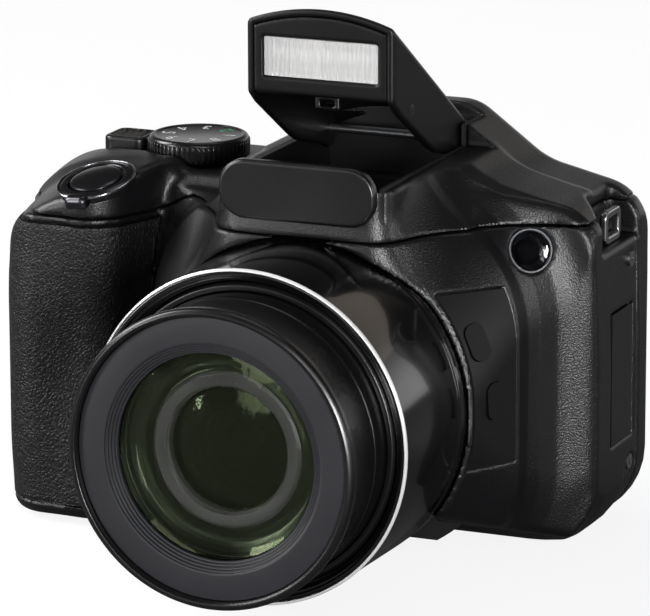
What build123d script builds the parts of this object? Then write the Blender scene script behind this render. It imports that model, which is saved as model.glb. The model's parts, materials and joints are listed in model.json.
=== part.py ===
"""Bridge camera: a gripped body with a telescoping zoom lens and a pop-up flash.

Millimetres, +Z up, the lens looks along -Y and the grip is on the -X side.
The origin is the centre of the tripod socket's mouth, under the lens axis.
It is modelled as it stands in use: flash raised, lens at its wide setting.
"""

import os
from math import atan2, cos, hypot, radians, sin, sqrt

from build123d import *

# Body sizes
body_left = 70.0
body_right = 49.0
body_back = 20.5
face_ahead = 14.0
top_plate = 68.5
hump_top = 81.7
hump_half_width = 13.6
hump_foot_x = 28.0
hump_foot_z = 71.2
hump_left_foot_x = 24.0
side_top = 66.3
lower_right_round = 12.0
lower_left_round = 7.5
upper_right_round = 7.0
upper_left_round = 7.0
foot_round = 16.0
crown_round = 9.0
left_foot_round = 5.0
back_edge_round = 6.5
case_wall = 2.0
lid_seam = 65.0
case_split = 10.0
overrun = 1.0
fit_gap = 0.3
running_gap = 0.05

# Lens sizes, as radii about the lens axis and distances ahead of the origin
lens_z = 32.5
shroud_radius = 32.2
shroud_front_radius = 31.7
shroud_bore = 30.8
shroud_lip_bore = 29.6
shroud_rear = 24.0
shroud_taper_start = 40.0
shroud_front = 65.6
shroud_lip_depth = 1.2
trim_radius = 32.0
trim_depth = 1.0
collar_front = 38.0
collar_front_radius = 33.0
collar_ridge = 25.0
collar_ridge_half = 38.0
collar_ridge_round = 25.9
collar_foot_half = 46.0
collar_foot_round = 30.0
collar_dip_share = 0.45
collar_dip_half_share = 0.22
lens_cavity_radius = 36.0
cam_outer = 30.4
cam_inner = 29.3
cam_front = 63.5
cam_rear = 20.5
middle_outer = 29.0
middle_inner = 27.6
middle_front = 65.0
middle_rear = 30.0
front_outer = 27.3
front_inner = 25.6
front_flange_radius = 28.3
front_flange_depth = 2.6
front_end = 83.2
front_rear = 33.0
gear_module = 0.5
cam_teeth = 124
pinion_teeth = 12
gear_width = 3.0
pinion_angle = 225.0

# Grip sizes
grip_front = 31.0
grip_inner_x = 46.0
grip_root_x = 37.0
grip_root_ahead = 8.0
grip_round = 9.0
grip_bottom_round = 3.0
grip_cap_round = 2.5
grip_top = 71.0
skin_thickness = 0.8
skin_bottom = 3.5
skin_top = 59.5

# Flash sizes
flash_hinge_y = 5.5
flash_hinge_z = 75.5
flash_half_width = 15.0
flash_plate = 1.4
flash_face_ahead = 31.5
flash_side_top = 104.0
flash_crown = 2.0
flash_end_radius = 3.9
flash_window_margin = 3.4
flash_window_half = flash_half_width - flash_window_margin
flash_brow = 3.5
flash_window_height = 7.5
flash_window_top = flash_side_top - flash_brow
flash_window_bottom = flash_window_top - flash_window_height
flash_head_bottom = flash_window_bottom - flash_brow
flash_head_depth = 9.5
bay_gap = 0.6
bay_half_width = flash_half_width + bay_gap
bay_wall = 0.8
bay_floor = 66.6
bay_rail = 75.2
bay_rear = 9.8
nose_front = 41.2
nose_wall = 1.4
nose_side = 2.4
nose_half_width = bay_half_width + nose_side
nose_round = 5.0
nose_bottom = 59.0


def facing(ahead):
    """A plane seen from the front, this far ahead of the origin."""
    return Plane.XZ.offset(ahead)


def level(height):
    """A horizontal plane at this height."""
    return Plane.XY.offset(height)


def across(x):
    """A plane square to the X axis at this x, with +Y to its right."""
    return Plane.YZ.offset(x)


def lens_plane(ahead):
    """A plane square to the lens axis, this far ahead of the origin."""
    return Plane(origin=(0, -ahead, lens_z), x_dir=(1, 0, 0), z_dir=(0, -1, 0))


lens_axis = Axis((0, 0, lens_z), (0, 1, 0))


def turned(profile):
    """A ring or disc turned about the lens axis from (ahead, radius) points."""
    with BuildPart() as piece:
        with BuildSketch(Plane.YZ):
            with BuildLine():
                Polyline([(-ahead, lens_z + radius) for ahead, radius in profile], close=True)
            make_face()
        revolve(axis=lens_axis)
    return piece


def tube(outer, inner, front, rear):
    """A plain ring about the lens axis between two distances ahead."""
    return turned([(rear, inner), (front, inner), (front, outer), (rear, outer)])


def block(x_range, y_range, z_range):
    """A plain box between limits."""
    with BuildPart() as piece:
        with BuildSketch(level(z_range[0])):
            with Locations((sum(x_range) / 2, sum(y_range) / 2)):
                Rectangle(x_range[1] - x_range[0], y_range[1] - y_range[0])
        extrude(amount=z_range[1] - z_range[0])
    return piece


def body_block(inset, ahead, behind):
    """The body's front view, drawn inward by inset, between two depths."""
    corners = [
        (-body_left, 0, lower_left_round),
        (body_right, 0, lower_right_round),
        (body_right, side_top, upper_right_round),
        (hump_foot_x, hump_foot_z, foot_round),
        (hump_half_width, hump_top, crown_round),
        (-hump_half_width, hump_top, crown_round),
        (-hump_left_foot_x, top_plate, left_foot_round),
        (-body_left, top_plate, upper_left_round),
    ]
    with BuildPart() as piece:
        with BuildSketch(facing(ahead)):
            with BuildLine():
                FilletPolyline(
                    *[(x, z) for x, z, _ in corners],
                    radius=[bend for _, _, bend in corners],
                    close=True,
                )
            make_face()
            if inset:
                offset(amount=-inset)
        extrude(amount=-(ahead + behind))
    return piece


def grip_form(inset, bottom, top):
    """The grip's plan view, drawn inward by inset, between two heights."""
    with BuildPart() as piece:
        with BuildSketch(level(bottom)):
            with BuildLine():
                FilletPolyline(
                    (-body_left, -grip_root_ahead),
                    (-body_left, -grip_front),
                    (-grip_inner_x, -grip_front),
                    (-grip_root_x, -grip_root_ahead),
                    radius=[0, grip_round, grip_round, 0],
                    close=True,
                )
            make_face()
            if inset:
                offset(amount=-inset)
        extrude(amount=top - bottom)
    return piece


# Shutter and zoom lever seat: the cap of the grip leans forward and a little to the left
shutter_x = -49.4
shutter_y = -25.9
cap_z_at_shutter = 68.0
cap_lean_left_share = 0.108
cap_lean_ahead_share = 0.288
cap_plane = Plane(
    origin=(shutter_x, shutter_y, cap_z_at_shutter),
    x_dir=(1, 0, cap_lean_left_share),
    z_dir=(-cap_lean_left_share, -cap_lean_ahead_share, 1),
)
cap_slab = grip_front
fall_x = 66.5
fall_z = 63.5
fall_side_share = 0.45
fall_plane = Plane(
    origin=(-fall_x, shutter_y, fall_z),
    x_dir=(1, 0, fall_side_share),
    z_dir=(-fall_side_share, -cap_lean_ahead_share, 1),
)

# Outer form of the whole case, before it is hollowed and split
def collar_form(inset):
    """The flared collar about the lens, drawn inward by inset."""
    dip_ahead = face_ahead + (collar_ridge - face_ahead) * collar_dip_share
    dip_half = collar_ridge_half + (collar_foot_half - collar_ridge_half) * collar_dip_half_share
    front_half = collar_front_radius - inset
    ridge_half = collar_ridge_half - inset
    ridge_round = collar_ridge_round - inset
    with BuildPart() as piece:
        with BuildSketch(lens_plane(collar_front)):
            RectangleRounded(2 * front_half, 2 * front_half, front_half - running_gap)
        with BuildSketch(lens_plane(collar_ridge)):
            RectangleRounded(2 * ridge_half, 2 * ridge_half, ridge_round)
        loft(ruled=True)
        with BuildSketch(lens_plane(collar_ridge)):
            RectangleRounded(2 * ridge_half, 2 * ridge_half, ridge_round)
        with BuildSketch(lens_plane(dip_ahead)):
            RectangleRounded(2 * (dip_half - inset), 2 * (dip_half - inset), ridge_round)
        with BuildSketch(lens_plane(face_ahead)):
            foot_half = collar_foot_half - inset
            RectangleRounded(2 * foot_half, 2 * foot_half, collar_foot_round - inset)
        loft(ruled=True)
        limits = block((-body_left, body_right), (-collar_front, body_back), (inset, top_plate))
        add(limits.part, mode=Mode.INTERSECT)
    return piece


collar = collar_form(0)

with BuildPart() as grip:
    add(grip_form(0, 0, hump_top).part)
    fillet(grip.edges().group_by(Axis.Z)[0], grip_bottom_round)
    with BuildSketch(cap_plane):
        Rectangle(4 * body_left, 4 * body_left)
    extrude(amount=cap_slab, mode=Mode.SUBTRACT)
    with BuildSketch(fall_plane):
        Rectangle(4 * body_left, 4 * body_left)
    extrude(amount=cap_slab, mode=Mode.SUBTRACT)
    cap_face = grip.faces().sort_by(Axis.Z)[-1]
    fillet(cap_face.edges().group_by(Axis.Y)[0], grip_cap_round)
    under_cap = block((-body_left, 0), (-grip_front, 0), (0, grip_top))
    add(under_cap.part, mode=Mode.INTERSECT)

with BuildPart() as envelope:
    add(body_block(0, face_ahead, body_back).part)
    fillet(envelope.faces().sort_by(Axis.Y)[-1].edges(), back_edge_round)
    step_y = flash_hinge_y - flash_end_radius - running_gap
    above_rail = (bay_rail, hump_top + overrun)
    over_bay = block((-body_left, body_right), (-nose_front - overrun, step_y), above_rail)
    add(over_bay.part, mode=Mode.SUBTRACT)
    add(grip.part)
    add(collar.part)
    with BuildSketch(level(nose_bottom)):
        with BuildLine():
            FilletPolyline(
                (-nose_half_width, 0),
                (-nose_half_width, -nose_front),
                (nose_half_width, -nose_front),
                (nose_half_width, 0),
                radius=[0, nose_round, nose_round, 0],
                close=True,
            )
        make_face()
    extrude(amount=bay_rail - nose_bottom)

# Strap lugs: a strip loop in a pocket at each top corner
lug_y = -1.5
lug_z = 61.0
lug_pocket_half_y = 5.5
lug_pocket_half_z = 4.6
lug_pocket_depth = 4.2
lug_strip = 1.3
lug_half_y = 4.2
lug_half_z = 3.4
lug_opening_half_y = 2.9
lug_opening_half_z = 1.7
lug_stem = 3.0


def lug_pocket(side_x, inward):
    """The pocket that holds a strap lug, cut in from the side face."""
    inner = side_x + inward * lug_pocket_depth
    outer = side_x - inward * overrun
    y_range = (lug_y - lug_pocket_half_y, lug_y + lug_pocket_half_y)
    z_range = (lug_z - lug_pocket_half_z, lug_z + lug_pocket_half_z)
    return block(sorted((inner, outer)), y_range, z_range)


def lug_housing(side_x, inward):
    """The solid corner that keeps walls around a strap lug's pocket."""
    inner = side_x + inward * (lug_pocket_depth + case_wall)
    reach_y = lug_pocket_half_y + case_wall
    reach_z = lug_pocket_half_z + case_wall
    y_range = (lug_y - reach_y, lug_y + reach_y)
    return block(sorted((inner, side_x)), y_range, (lug_z - reach_z, lug_z + reach_z))


# Room inside the case
pinion_pitch = gear_module * pinion_teeth / 2
cam_pitch = gear_module * cam_teeth / 2
pinion_reach = cam_pitch + pinion_pitch
pinion_x = pinion_reach * cos(radians(pinion_angle))
pinion_z = lens_z + pinion_reach * sin(radians(pinion_angle))
pinion_room = pinion_pitch + 2 * gear_module + fit_gap
hump_room_half = hump_half_width - overrun
with BuildPart() as room:
    add(body_block(case_wall, face_ahead - case_wall, body_back - case_wall).part)
    fillet(room.faces().sort_by(Axis.Y)[-1].edges(), back_edge_round - case_wall)
    room_sizes = (-body_left, body_right), (-collar_front, body_back)
    with BuildSketch(lens_plane(0)):
        Circle(lens_cavity_radius)
        with Locations((pinion_x, pinion_z - lens_z)):
            Circle(pinion_room)
    extrude(amount=shroud_rear)
    add(grip_form(case_wall + skin_thickness, case_wall, lid_seam).part)
    add(block(*room_sizes, (case_wall, lid_seam)).part, mode=Mode.INTERSECT)
    with BuildSketch(lens_plane(0)):
        Circle(shroud_radius)
    extrude(amount=front_end)
    rear_hump = (bay_rear + bay_wall + case_wall, body_back - case_wall)
    add(lug_housing(body_right, -1).part, mode=Mode.SUBTRACT)
    add(lug_housing(-body_left, 1).part, mode=Mode.SUBTRACT)
    hump_heights = (lid_seam - overrun, hump_top - case_wall)
    add(block((-hump_room_half, hump_room_half), rear_hump, hump_heights).part)

# Bay in the nose that takes the flash
bay_cut_half = bay_half_width + bay_wall
with BuildPart() as bay_cut:
    bay_cut_rear = bay_rear + bay_wall
    bay_floor_under = bay_floor - bay_wall
    bay_depths = (-nose_front + nose_wall, bay_cut_rear)
    add(block((-bay_cut_half, bay_cut_half), bay_depths, (bay_floor_under, hump_top + overrun)).part)

# Doors: the section has a round nose on the hinge line and lies in the case wall
door_gap = 0.2
door_stub_radius = 0.5
door_stub_length = 1.2
battery_door_hinge_x = -63.0
battery_door_width = 15.5
battery_door_front = 14.0
battery_door_rear = 8.5
terminal_hinge_y = 6.5
terminal_width = 11.0
terminal_bottom = 20.0
terminal_top = 46.0
door_round = case_wall / 2
battery_hinge = Plane(
    origin=(battery_door_hinge_x, battery_door_rear, door_round),
    x_dir=(1, 0, 0),
    z_dir=(0, -1, 0),
)
battery_door_length = battery_door_rear + battery_door_front
terminal_hinge = Plane(
    origin=(body_right - door_round, terminal_hinge_y, terminal_bottom),
    x_dir=(0, -1, 0),
    z_dir=(0, 0, 1),
)
terminal_length = terminal_top - terminal_bottom


def hinged_door(plane, width, length):
    """A wall-thick door with a round hinge edge and a stub pin at each end."""
    with BuildPart() as door:
        with BuildSketch(plane):
            Circle(door_round)
            with Locations((width / 2, 0)):
                Rectangle(width, case_wall)
        extrude(amount=length)
        with BuildSketch(plane.offset(-door_stub_length)):
            Circle(door_stub_radius)
        extrude(amount=length + 2 * door_stub_length)
    return door


def door_opening(plane, width, length):
    """The hole that a door closes, with the sockets for its stub pins."""
    with BuildPart() as opening:
        with BuildSketch(plane.offset(-door_gap)):
            hole_width = width + door_round + 2 * door_gap
            with Locations((hole_width / 2 - door_round - door_gap, 0)):
                Rectangle(hole_width, case_wall + 2 * overrun)
        extrude(amount=length + 2 * door_gap)
        socket_depth = door_stub_length + door_gap
        with BuildSketch(plane.offset(-socket_depth)):
            Circle(door_stub_radius + running_gap)
        extrude(amount=length + 2 * socket_depth)
    return opening


battery_opening = door_opening(battery_hinge, battery_door_width, battery_door_length)
terminal_opening = door_opening(terminal_hinge, terminal_width, terminal_length)

# Tripod socket in the base
socket_radius = 3.2
socket_boss_radius = 5.0
socket_depth_up = 6.0
socket_cap = 1.0

# Autofocus lamp on the front face
lamp_x = 36.3
lamp_z = 59.2
lamp_radius = 5.0
lamp_glass_radius = 4.2
lamp_front = 16.6
lamp_rear = 11.0
lamp_dome = 1.0

# Screen and controls on the back
screen_x = 5.0
screen_z = 33.0
screen_width = 66.0
screen_height = 50.0
screen_round = 3.0
window_depth = 1.2
window_inset = 0.1
lcd_width = 60.0
lcd_height = 45.0
lcd_depth = 2.2
rear_dial_x = -46.0
rear_dial_z = 27.0
rear_dial_radius = 9.0
rear_dial_depth = 1.6
rear_dial_hub = 5.2
set_button_radius = 4.0
button_radius = 3.2
button_stem = 1.5
button_travel = 0.5
button_pocket = 1.2
button_proud = 0.7
rear_buttons = {
    "movie_button": (-33.5, 58.0),
    "display_button": (-59.0, 44.5),
    "playback_button": (-35.0, 44.5),
    "menu_button": (-59.0, 10.5),
}

# Side screws
screw_radius = 1.5
screw_depth = 1.0
screw_y = 6.2
screw_places = [(screw_y, 54.8), (screw_y, 14.4)]

# Top controls
dial_x = -39.4
dial_y = -0.2
dial_radius = 10.2
dial_bottom = 68.8
dial_top = 72.8
dial_shaft = 3.0
dial_shaft_length = 5.5
dial_ribs = 44
dial_rib_radius = 0.32

# Assist panel and its two buttons on the collar's flare, one above the other
panel_thickness = 0.6
panel_width = 14.0
panel_lip = 1.4
panel_ridge_gap = 1.0
panel_below_axis = 10.5
panel_above_axis = 22.5
panel_x = collar_ridge_half - panel_width
panel_front = collar_front - panel_lip
panel_rear = collar_ridge + panel_ridge_gap
panel_bottom = lens_z - panel_below_axis
panel_top = lens_z + panel_above_axis
assist_reach = (collar_front_radius + collar_ridge_half) / 2
assist_angles = {"assist_button_upper": 22.67, "assist_button_lower": 3.39}
assist_places = {
    name: (
        assist_reach * cos(radians(angle)),
        lens_z + assist_reach * sin(radians(angle)),
    )
    for name, angle in assist_angles.items()
}
assist_width = 4.4
assist_height = 7.2
assist_depth = 1.0
assist_proud = 0.5
assist_sink = 0.6


def ridge_reach(across_share, up_share):
    """How far the collar's ridge lies from the lens axis in one direction."""
    centre = collar_ridge_half - collar_ridge_round
    side_reach = collar_ridge_half / max(across_share, up_share)
    if side_reach * min(across_share, up_share) <= centre:
        return side_reach
    along = centre * (across_share + up_share)
    return along + sqrt(along ** 2 - 2 * centre ** 2 + collar_ridge_round ** 2)


def assist_plane(x, z):
    """The plane of an assist button, square to the collar's flare."""
    radius = hypot(x, z - lens_z)
    reach = ridge_reach(abs(x) / radius, abs(z - lens_z) / radius)
    flare = (reach - collar_front_radius) / (collar_front - collar_ridge)
    ahead = collar_front - (radius - collar_front_radius) / flare
    normal = (x / radius, -flare, (z - lens_z) / radius)
    return Plane(origin=(x, -ahead, z), x_dir=(0, 1, 0), z_dir=normal)


def assist_button(plane, gap, below):
    """An oval slab about an assist button's place, wider by gap, from below the surface up."""
    with BuildPart() as piece:
        with BuildSketch(plane.offset(-below)):
            RectangleRounded(
                assist_width + 2 * gap,
                assist_height + 2 * gap,
                assist_width / 2 - fit_gap + gap,
            )
        extrude(amount=below + assist_proud)
    return piece


# Power switch block beside the mode dial
power_x = -55.0
power_y = 2.0
power_width = 9.0
power_length = 9.0
power_round = 2.0
power_bottom = 68.0
power_travel = 0.4
power_top = 71.8
power_rib = 0.6
power_ribs = 5
power_guide = 5.0
power_guide_depth = 3.0
power_slide_gap = 0.3

# The case, split into a front cover, a rear cover and a top cover
case_reach = (-nose_front - overrun, body_back + overrun)
case_span = (-body_left - overrun, body_right + overrun)
below_seam = (-overrun, lid_seam)
front_region = block(case_span, (case_reach[0], case_split), below_seam)
rear_region = block(case_span, (case_split, case_reach[1]), below_seam)
top_region = block(case_span, case_reach, (lid_seam, hump_top + overrun))

with BuildPart() as shell:
    add(envelope.part)
    add(room.part, mode=Mode.SUBTRACT)
    add(bay_cut.part, mode=Mode.SUBTRACT)
    for pocket in (
        lug_pocket(body_right, -1),
        lug_pocket(-body_left, 1),
        battery_opening,
        terminal_opening,
    ):
        add(pocket.part, mode=Mode.SUBTRACT)

with BuildPart() as skin_layer:
    add(grip_form(0, skin_bottom, skin_top).part)
    inner_skin = grip_form(skin_thickness, skin_bottom, skin_top)
    add(inner_skin.part, mode=Mode.SUBTRACT)
    skin_limits = block(
        (-body_left, -grip_root_x),
        (-grip_front, -grip_root_ahead - skin_thickness),
        (skin_bottom, skin_top),
    )
    add(skin_limits.part, mode=Mode.INTERSECT)

with BuildPart() as grip_skin:
    add(skin_layer.part)
    add(collar.part, mode=Mode.SUBTRACT)
    hidden = body_block(0, face_ahead, body_back)
    hidden_cut = block((-body_left + skin_thickness, 0), (-face_ahead, body_back), (0, skin_top))
    add(hidden_cut.part, mode=Mode.SUBTRACT)

with BuildPart() as panel_layer:
    add(collar.part)
    add(collar_form(panel_thickness).part, mode=Mode.SUBTRACT)
    panel_limits = block(
        (panel_x, collar_ridge_half + collar_foot_half),
        (-panel_front, -panel_rear),
        (panel_bottom, panel_top),
    )
    add(panel_limits.part, mode=Mode.INTERSECT)

with BuildPart() as assist_panel:
    add(panel_layer.part)
    for x, z in assist_places.values():
        hole = assist_button(assist_plane(x, z), running_gap * 2, assist_depth + assist_sink)
        add(hole.part, mode=Mode.SUBTRACT)

with BuildPart() as front_cover:
    add(shell.part)
    add(front_region.part, mode=Mode.INTERSECT)
    add(grip_skin.part, mode=Mode.SUBTRACT)
    add(panel_layer.part, mode=Mode.SUBTRACT)
    for x, z in assist_places.values():
        hole = assist_button(assist_plane(x, z), running_gap * 2, assist_depth + assist_sink)
        add(hole.part, mode=Mode.SUBTRACT)
    with BuildSketch(facing(lamp_rear)):
        with Locations((lamp_x, lamp_z)):
            Circle(lamp_radius)
    extrude(amount=lens_cavity_radius, mode=Mode.SUBTRACT)
    with BuildSketch(across(body_right)):
        with Locations(*screw_places):
            Circle(screw_radius)
    extrude(amount=-screw_depth, mode=Mode.SUBTRACT)
    with BuildSketch(level(0)):
        Circle(socket_boss_radius)
    extrude(amount=case_wall, mode=Mode.SUBTRACT)

with BuildPart() as screws:
    with BuildSketch(across(body_right - screw_depth)):
        with Locations(*screw_places):
            Circle(screw_radius)
    extrude(amount=screw_depth)
    with BuildSketch(across(body_right - screw_depth / 2)):
        with Locations(*screw_places):
            Rectangle(screw_radius, screw_radius / 4)
            Rectangle(screw_radius / 4, screw_radius)
    extrude(amount=screw_depth, mode=Mode.SUBTRACT)

with BuildPart() as tripod_socket:
    with BuildSketch(level(0)):
        Circle(socket_boss_radius)
    extrude(amount=socket_depth_up + socket_cap)
    with BuildSketch(level(0)):
        Circle(socket_radius)
    extrude(amount=socket_depth_up, mode=Mode.SUBTRACT)

with BuildPart() as rear_cover:
    add(shell.part)
    add(rear_region.part, mode=Mode.INTERSECT)
    with BuildSketch(facing(-body_back)):
        with Locations((screen_x, screen_z)):
            RectangleRounded(screen_width, screen_height, screen_round)
    extrude(amount=window_depth + window_inset, mode=Mode.SUBTRACT)
    with BuildSketch(facing(-body_back)):
        with Locations((screen_x, screen_z)):
            Rectangle(lcd_width, lcd_height)
    extrude(amount=case_wall + overrun, mode=Mode.SUBTRACT)
    with BuildSketch(facing(-body_back)):
        with Locations((rear_dial_x, rear_dial_z)):
            Circle(rear_dial_radius + fit_gap)
    extrude(amount=rear_dial_depth, mode=Mode.SUBTRACT)
    with BuildSketch(facing(-body_back)):
        with Locations((rear_dial_x, rear_dial_z)):
            Circle(rear_dial_hub)
    extrude(amount=case_wall + overrun, mode=Mode.SUBTRACT)
    with BuildSketch(facing(-body_back)):
        with Locations(*rear_buttons.values()):
            Circle(button_radius + running_gap)
    extrude(amount=button_pocket, mode=Mode.SUBTRACT)
    with BuildSketch(facing(-body_back)):
        with Locations(*rear_buttons.values()):
            Circle(button_stem + running_gap)
    extrude(amount=case_wall + overrun, mode=Mode.SUBTRACT)

lever_radius = 7.9
lever_inner = 5.6
lever_height = 1.9
lever_recess = 1.0
lever_tab_reach = 1.6
lever_tab_width = 4.6
lever_tab_height = 2.2
lever_tab_angle = 235.0
shutter_radius = 5.2
shutter_height = 2.2
shutter_dome = 0.6
shutter_stem = 2.0
shutter_travel = 0.6
shutter_depth = 2.8

with BuildPart() as top_cover:
    add(shell.part)
    add(top_region.part, mode=Mode.INTERSECT)
    with BuildSketch(level(dial_bottom)):
        with Locations((dial_x, dial_y)):
            Circle(dial_radius + fit_gap)
    extrude(amount=dial_top, mode=Mode.SUBTRACT)
    with BuildSketch(level(lid_seam)):
        with Locations((dial_x, dial_y)):
            Circle(dial_shaft + running_gap)
    extrude(amount=top_plate, mode=Mode.SUBTRACT)
    with BuildSketch(cap_plane.offset(-lever_recess)):
        Circle(lever_radius + fit_gap)
    extrude(amount=cap_slab, mode=Mode.SUBTRACT)
    with BuildSketch(cap_plane.offset(-shutter_depth)):
        Circle(shutter_stem + running_gap)
    extrude(amount=cap_slab, mode=Mode.SUBTRACT)
    with BuildSketch(level(power_bottom)):
        with Locations((power_x, power_y)):
            RectangleRounded(
                power_width + 2 * power_slide_gap,
                power_length + 2 * power_slide_gap,
                power_round,
            )
    extrude(amount=grip_top, mode=Mode.SUBTRACT)
    with BuildSketch(level(lid_seam)):
        with Locations((power_x, power_y)):
            Rectangle(power_guide + 2 * running_gap, power_guide + 2 * running_gap)
    extrude(amount=grip_top, mode=Mode.SUBTRACT)

name_plate_bottom = 68.0
name_plate_top = 79.3
name_plate_half = 15.8
name_plate_depth = 2.0
name_plate_round = 5.2
name_plate_edge = 0.5
with BuildPart() as name_plate:
    plate_z = (name_plate_bottom + name_plate_top) / 2
    plate_height = name_plate_top - name_plate_bottom
    with BuildSketch(facing(nose_front)):
        with Locations((0, plate_z)):
            RectangleRounded(2 * name_plate_half, plate_height, name_plate_round)
    extrude(amount=name_plate_depth)
    chamfer(name_plate.faces().sort_by(Axis.Y)[0].edges(), name_plate_edge)

with BuildPart() as af_lamp_bezel:
    with BuildSketch(facing(lamp_rear)):
        with Locations((lamp_x, lamp_z)):
            Circle(lamp_radius)
            Circle(lamp_glass_radius, mode=Mode.SUBTRACT)
    extrude(amount=lamp_front - lamp_rear)

with BuildPart() as af_lamp_glass:
    with BuildSketch(facing(lamp_rear)):
        with Locations((lamp_x, lamp_z)):
            Circle(lamp_glass_radius)
    extrude(amount=lamp_front - lamp_rear)
    fillet(af_lamp_glass.faces().sort_by(Axis.Y)[0].edges(), lamp_dome)


def strap_lug(side_x, inward):
    """A folded strip loop standing in its pocket on a short stem."""
    root = side_x + inward * lug_pocket_depth
    middle = side_x + inward * lug_stem
    x_low, x_high = sorted((middle, middle - inward * lug_strip))
    with BuildPart() as piece:
        with BuildSketch(across(x_low)):
            with Locations((lug_y, lug_z)):
                RectangleRounded(2 * lug_half_y, 2 * lug_half_z, lug_strip)
                Rectangle(2 * lug_opening_half_y, 2 * lug_opening_half_z, mode=Mode.SUBTRACT)
        extrude(amount=x_high - x_low)
        stem_x = sorted((root, middle))
        stem_z = (lug_z - lug_half_z, lug_z - lug_half_z + lug_strip)
        add(block(stem_x, (lug_y - lug_half_y + lug_strip, lug_y + lug_half_y - lug_strip), stem_z).part)
    return piece


strap_lug_right = strap_lug(body_right, -1)
strap_lug_left = strap_lug(-body_left, 1)

# Lens unit, from the fixed housing inward
flange_front = 19.5
flange_depth = 1.5
flange_bore = 28.0
zoom_in_clearance = 0.8
base_outer = 24.0
base_inner = 22.6
base_rear = -2.5
base_plate = 1.5
sensor_width = 16.0
sensor_height = 14.0
sensor_depth = 1.6
light_width = 12.0
light_height = 10.0
rod_radius = 0.8
rod_place = 19.5
rod_front = 17.0
shaft_radius = 0.8
flange_rear = flange_front - flange_depth
step_front = flange_rear - zoom_in_clearance
step_rear = step_front - flange_depth
with BuildPart() as lens_base:
    add(turned([
        (flange_front, flange_bore),
        (step_front, flange_bore),
        (step_front, base_inner),
        (base_rear + base_plate, base_inner),
        (base_rear + base_plate, 0),
        (base_rear, 0),
        (base_rear, base_outer),
        (step_rear, base_outer),
        (step_rear, flange_bore + flange_depth),
        (flange_rear, flange_bore + flange_depth),
        (flange_rear, lens_cavity_radius),
        (flange_front, lens_cavity_radius),
    ]).part)
    base_limits = block(
        (-body_left, body_right),
        (-flange_front, flange_front),
        (case_wall, lid_seam),
    )
    add(base_limits.part, mode=Mode.INTERSECT)
    with BuildSketch(lens_plane(base_rear)):
        Rectangle(light_width, light_height)
    extrude(amount=base_plate, mode=Mode.SUBTRACT)
    with BuildSketch(lens_plane(base_rear)):
        with Locations((-rod_place, 0), (rod_place, 0)):
            Circle(rod_radius)
    extrude(amount=base_plate, mode=Mode.SUBTRACT)
    with BuildSketch(lens_plane(flange_rear)):
        with Locations((pinion_x, pinion_z - lens_z)):
            Circle(shaft_radius + running_gap)
    extrude(amount=flange_depth, mode=Mode.SUBTRACT)

with BuildPart() as guide_rods:
    with BuildSketch(lens_plane(base_rear)):
        with Locations((-rod_place, 0), (rod_place, 0)):
            Circle(rod_radius)
    extrude(amount=rod_front - base_rear)

with BuildPart() as image_sensor:
    with BuildSketch(lens_plane(base_rear)):
        Rectangle(sensor_width, sensor_height)
    extrude(amount=-sensor_depth)

bracket_width = 40.0
bracket_height = 22.0
bracket_depth = 3.0
with BuildPart() as sensor_bracket:
    with BuildSketch(lens_plane(base_rear)):
        Rectangle(bracket_width, bracket_height)
    extrude(amount=-bracket_depth)
    with BuildSketch(lens_plane(base_rear)):
        Rectangle(sensor_width, sensor_height)
    extrude(amount=-sensor_depth, mode=Mode.SUBTRACT)

# Shroud and its bright trim ring
lens_shroud = turned([
    (shroud_rear, shroud_bore),
    (shroud_front - shroud_lip_depth, shroud_bore),
    (shroud_front - shroud_lip_depth, shroud_lip_bore),
    (shroud_front, shroud_lip_bore),
    (shroud_front, shroud_front_radius),
    (shroud_taper_start, shroud_radius),
    (shroud_rear, shroud_radius),
])
trim_bore = 30.4
trim_edge = 0.35
trim_ring = turned([
    (shroud_front, trim_bore),
    (shroud_front + trim_depth, trim_bore),
    (shroud_front + trim_depth, trim_radius - trim_edge),
    (shroud_front + trim_depth - trim_edge, trim_radius),
    (shroud_front, trim_radius),
])

# Toothed cam ring that drives the barrels, with its pinion and motor
tooth_rise = 0.4
tooth_root_width = 0.75
tooth_tip_width = 0.35
tooth_bite = 0.3


def toothed_ring(plane, teeth, bore):
    """A gear about a plane's origin, thin-toothed so that it runs free."""
    pitch = gear_module * teeth / 2
    root = pitch - tooth_rise - running_gap
    with BuildPart() as gear:
        with BuildSketch(plane):
            Circle(root)
            with PolarLocations(0, teeth):
                with BuildLine():
                    Polyline(
                        (root - tooth_bite, -tooth_root_width / 2),
                        (pitch + tooth_rise, -tooth_tip_width / 2),
                        (pitch + tooth_rise, tooth_tip_width / 2),
                        (root - tooth_bite, tooth_root_width / 2),
                        close=True,
                    )
                make_face()
            if bore:
                Circle(bore, mode=Mode.SUBTRACT)
        extrude(amount=gear_width)
    return gear


gap_to_pinion = pinion_angle + 180.0 / cam_teeth
cam_plane = Plane(
    origin=(0, -cam_rear, lens_z),
    x_dir=(cos(radians(gap_to_pinion)), 0, sin(radians(gap_to_pinion))),
    z_dir=(0, -1, 0),
)
with BuildPart() as cam_ring:
    add(toothed_ring(cam_plane, cam_teeth, cam_inner).part)
    add(tube(cam_outer, cam_inner, cam_front, cam_rear).part)

pinion_plane = Plane(
    origin=(pinion_x, -cam_rear, pinion_z),
    x_dir=(cos(radians(pinion_angle)), 0, sin(radians(pinion_angle))),
    z_dir=(0, -1, 0),
)
motor_radius = 3.8
motor_length = 11.0
motor_bore_depth = 4.0
with BuildPart() as motor_pinion:
    add(toothed_ring(pinion_plane, pinion_teeth, 0).part)
    with BuildSketch(pinion_plane):
        Circle(shaft_radius)
    extrude(amount=-(cam_rear - flange_front + flange_depth + motor_bore_depth - overrun))

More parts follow.
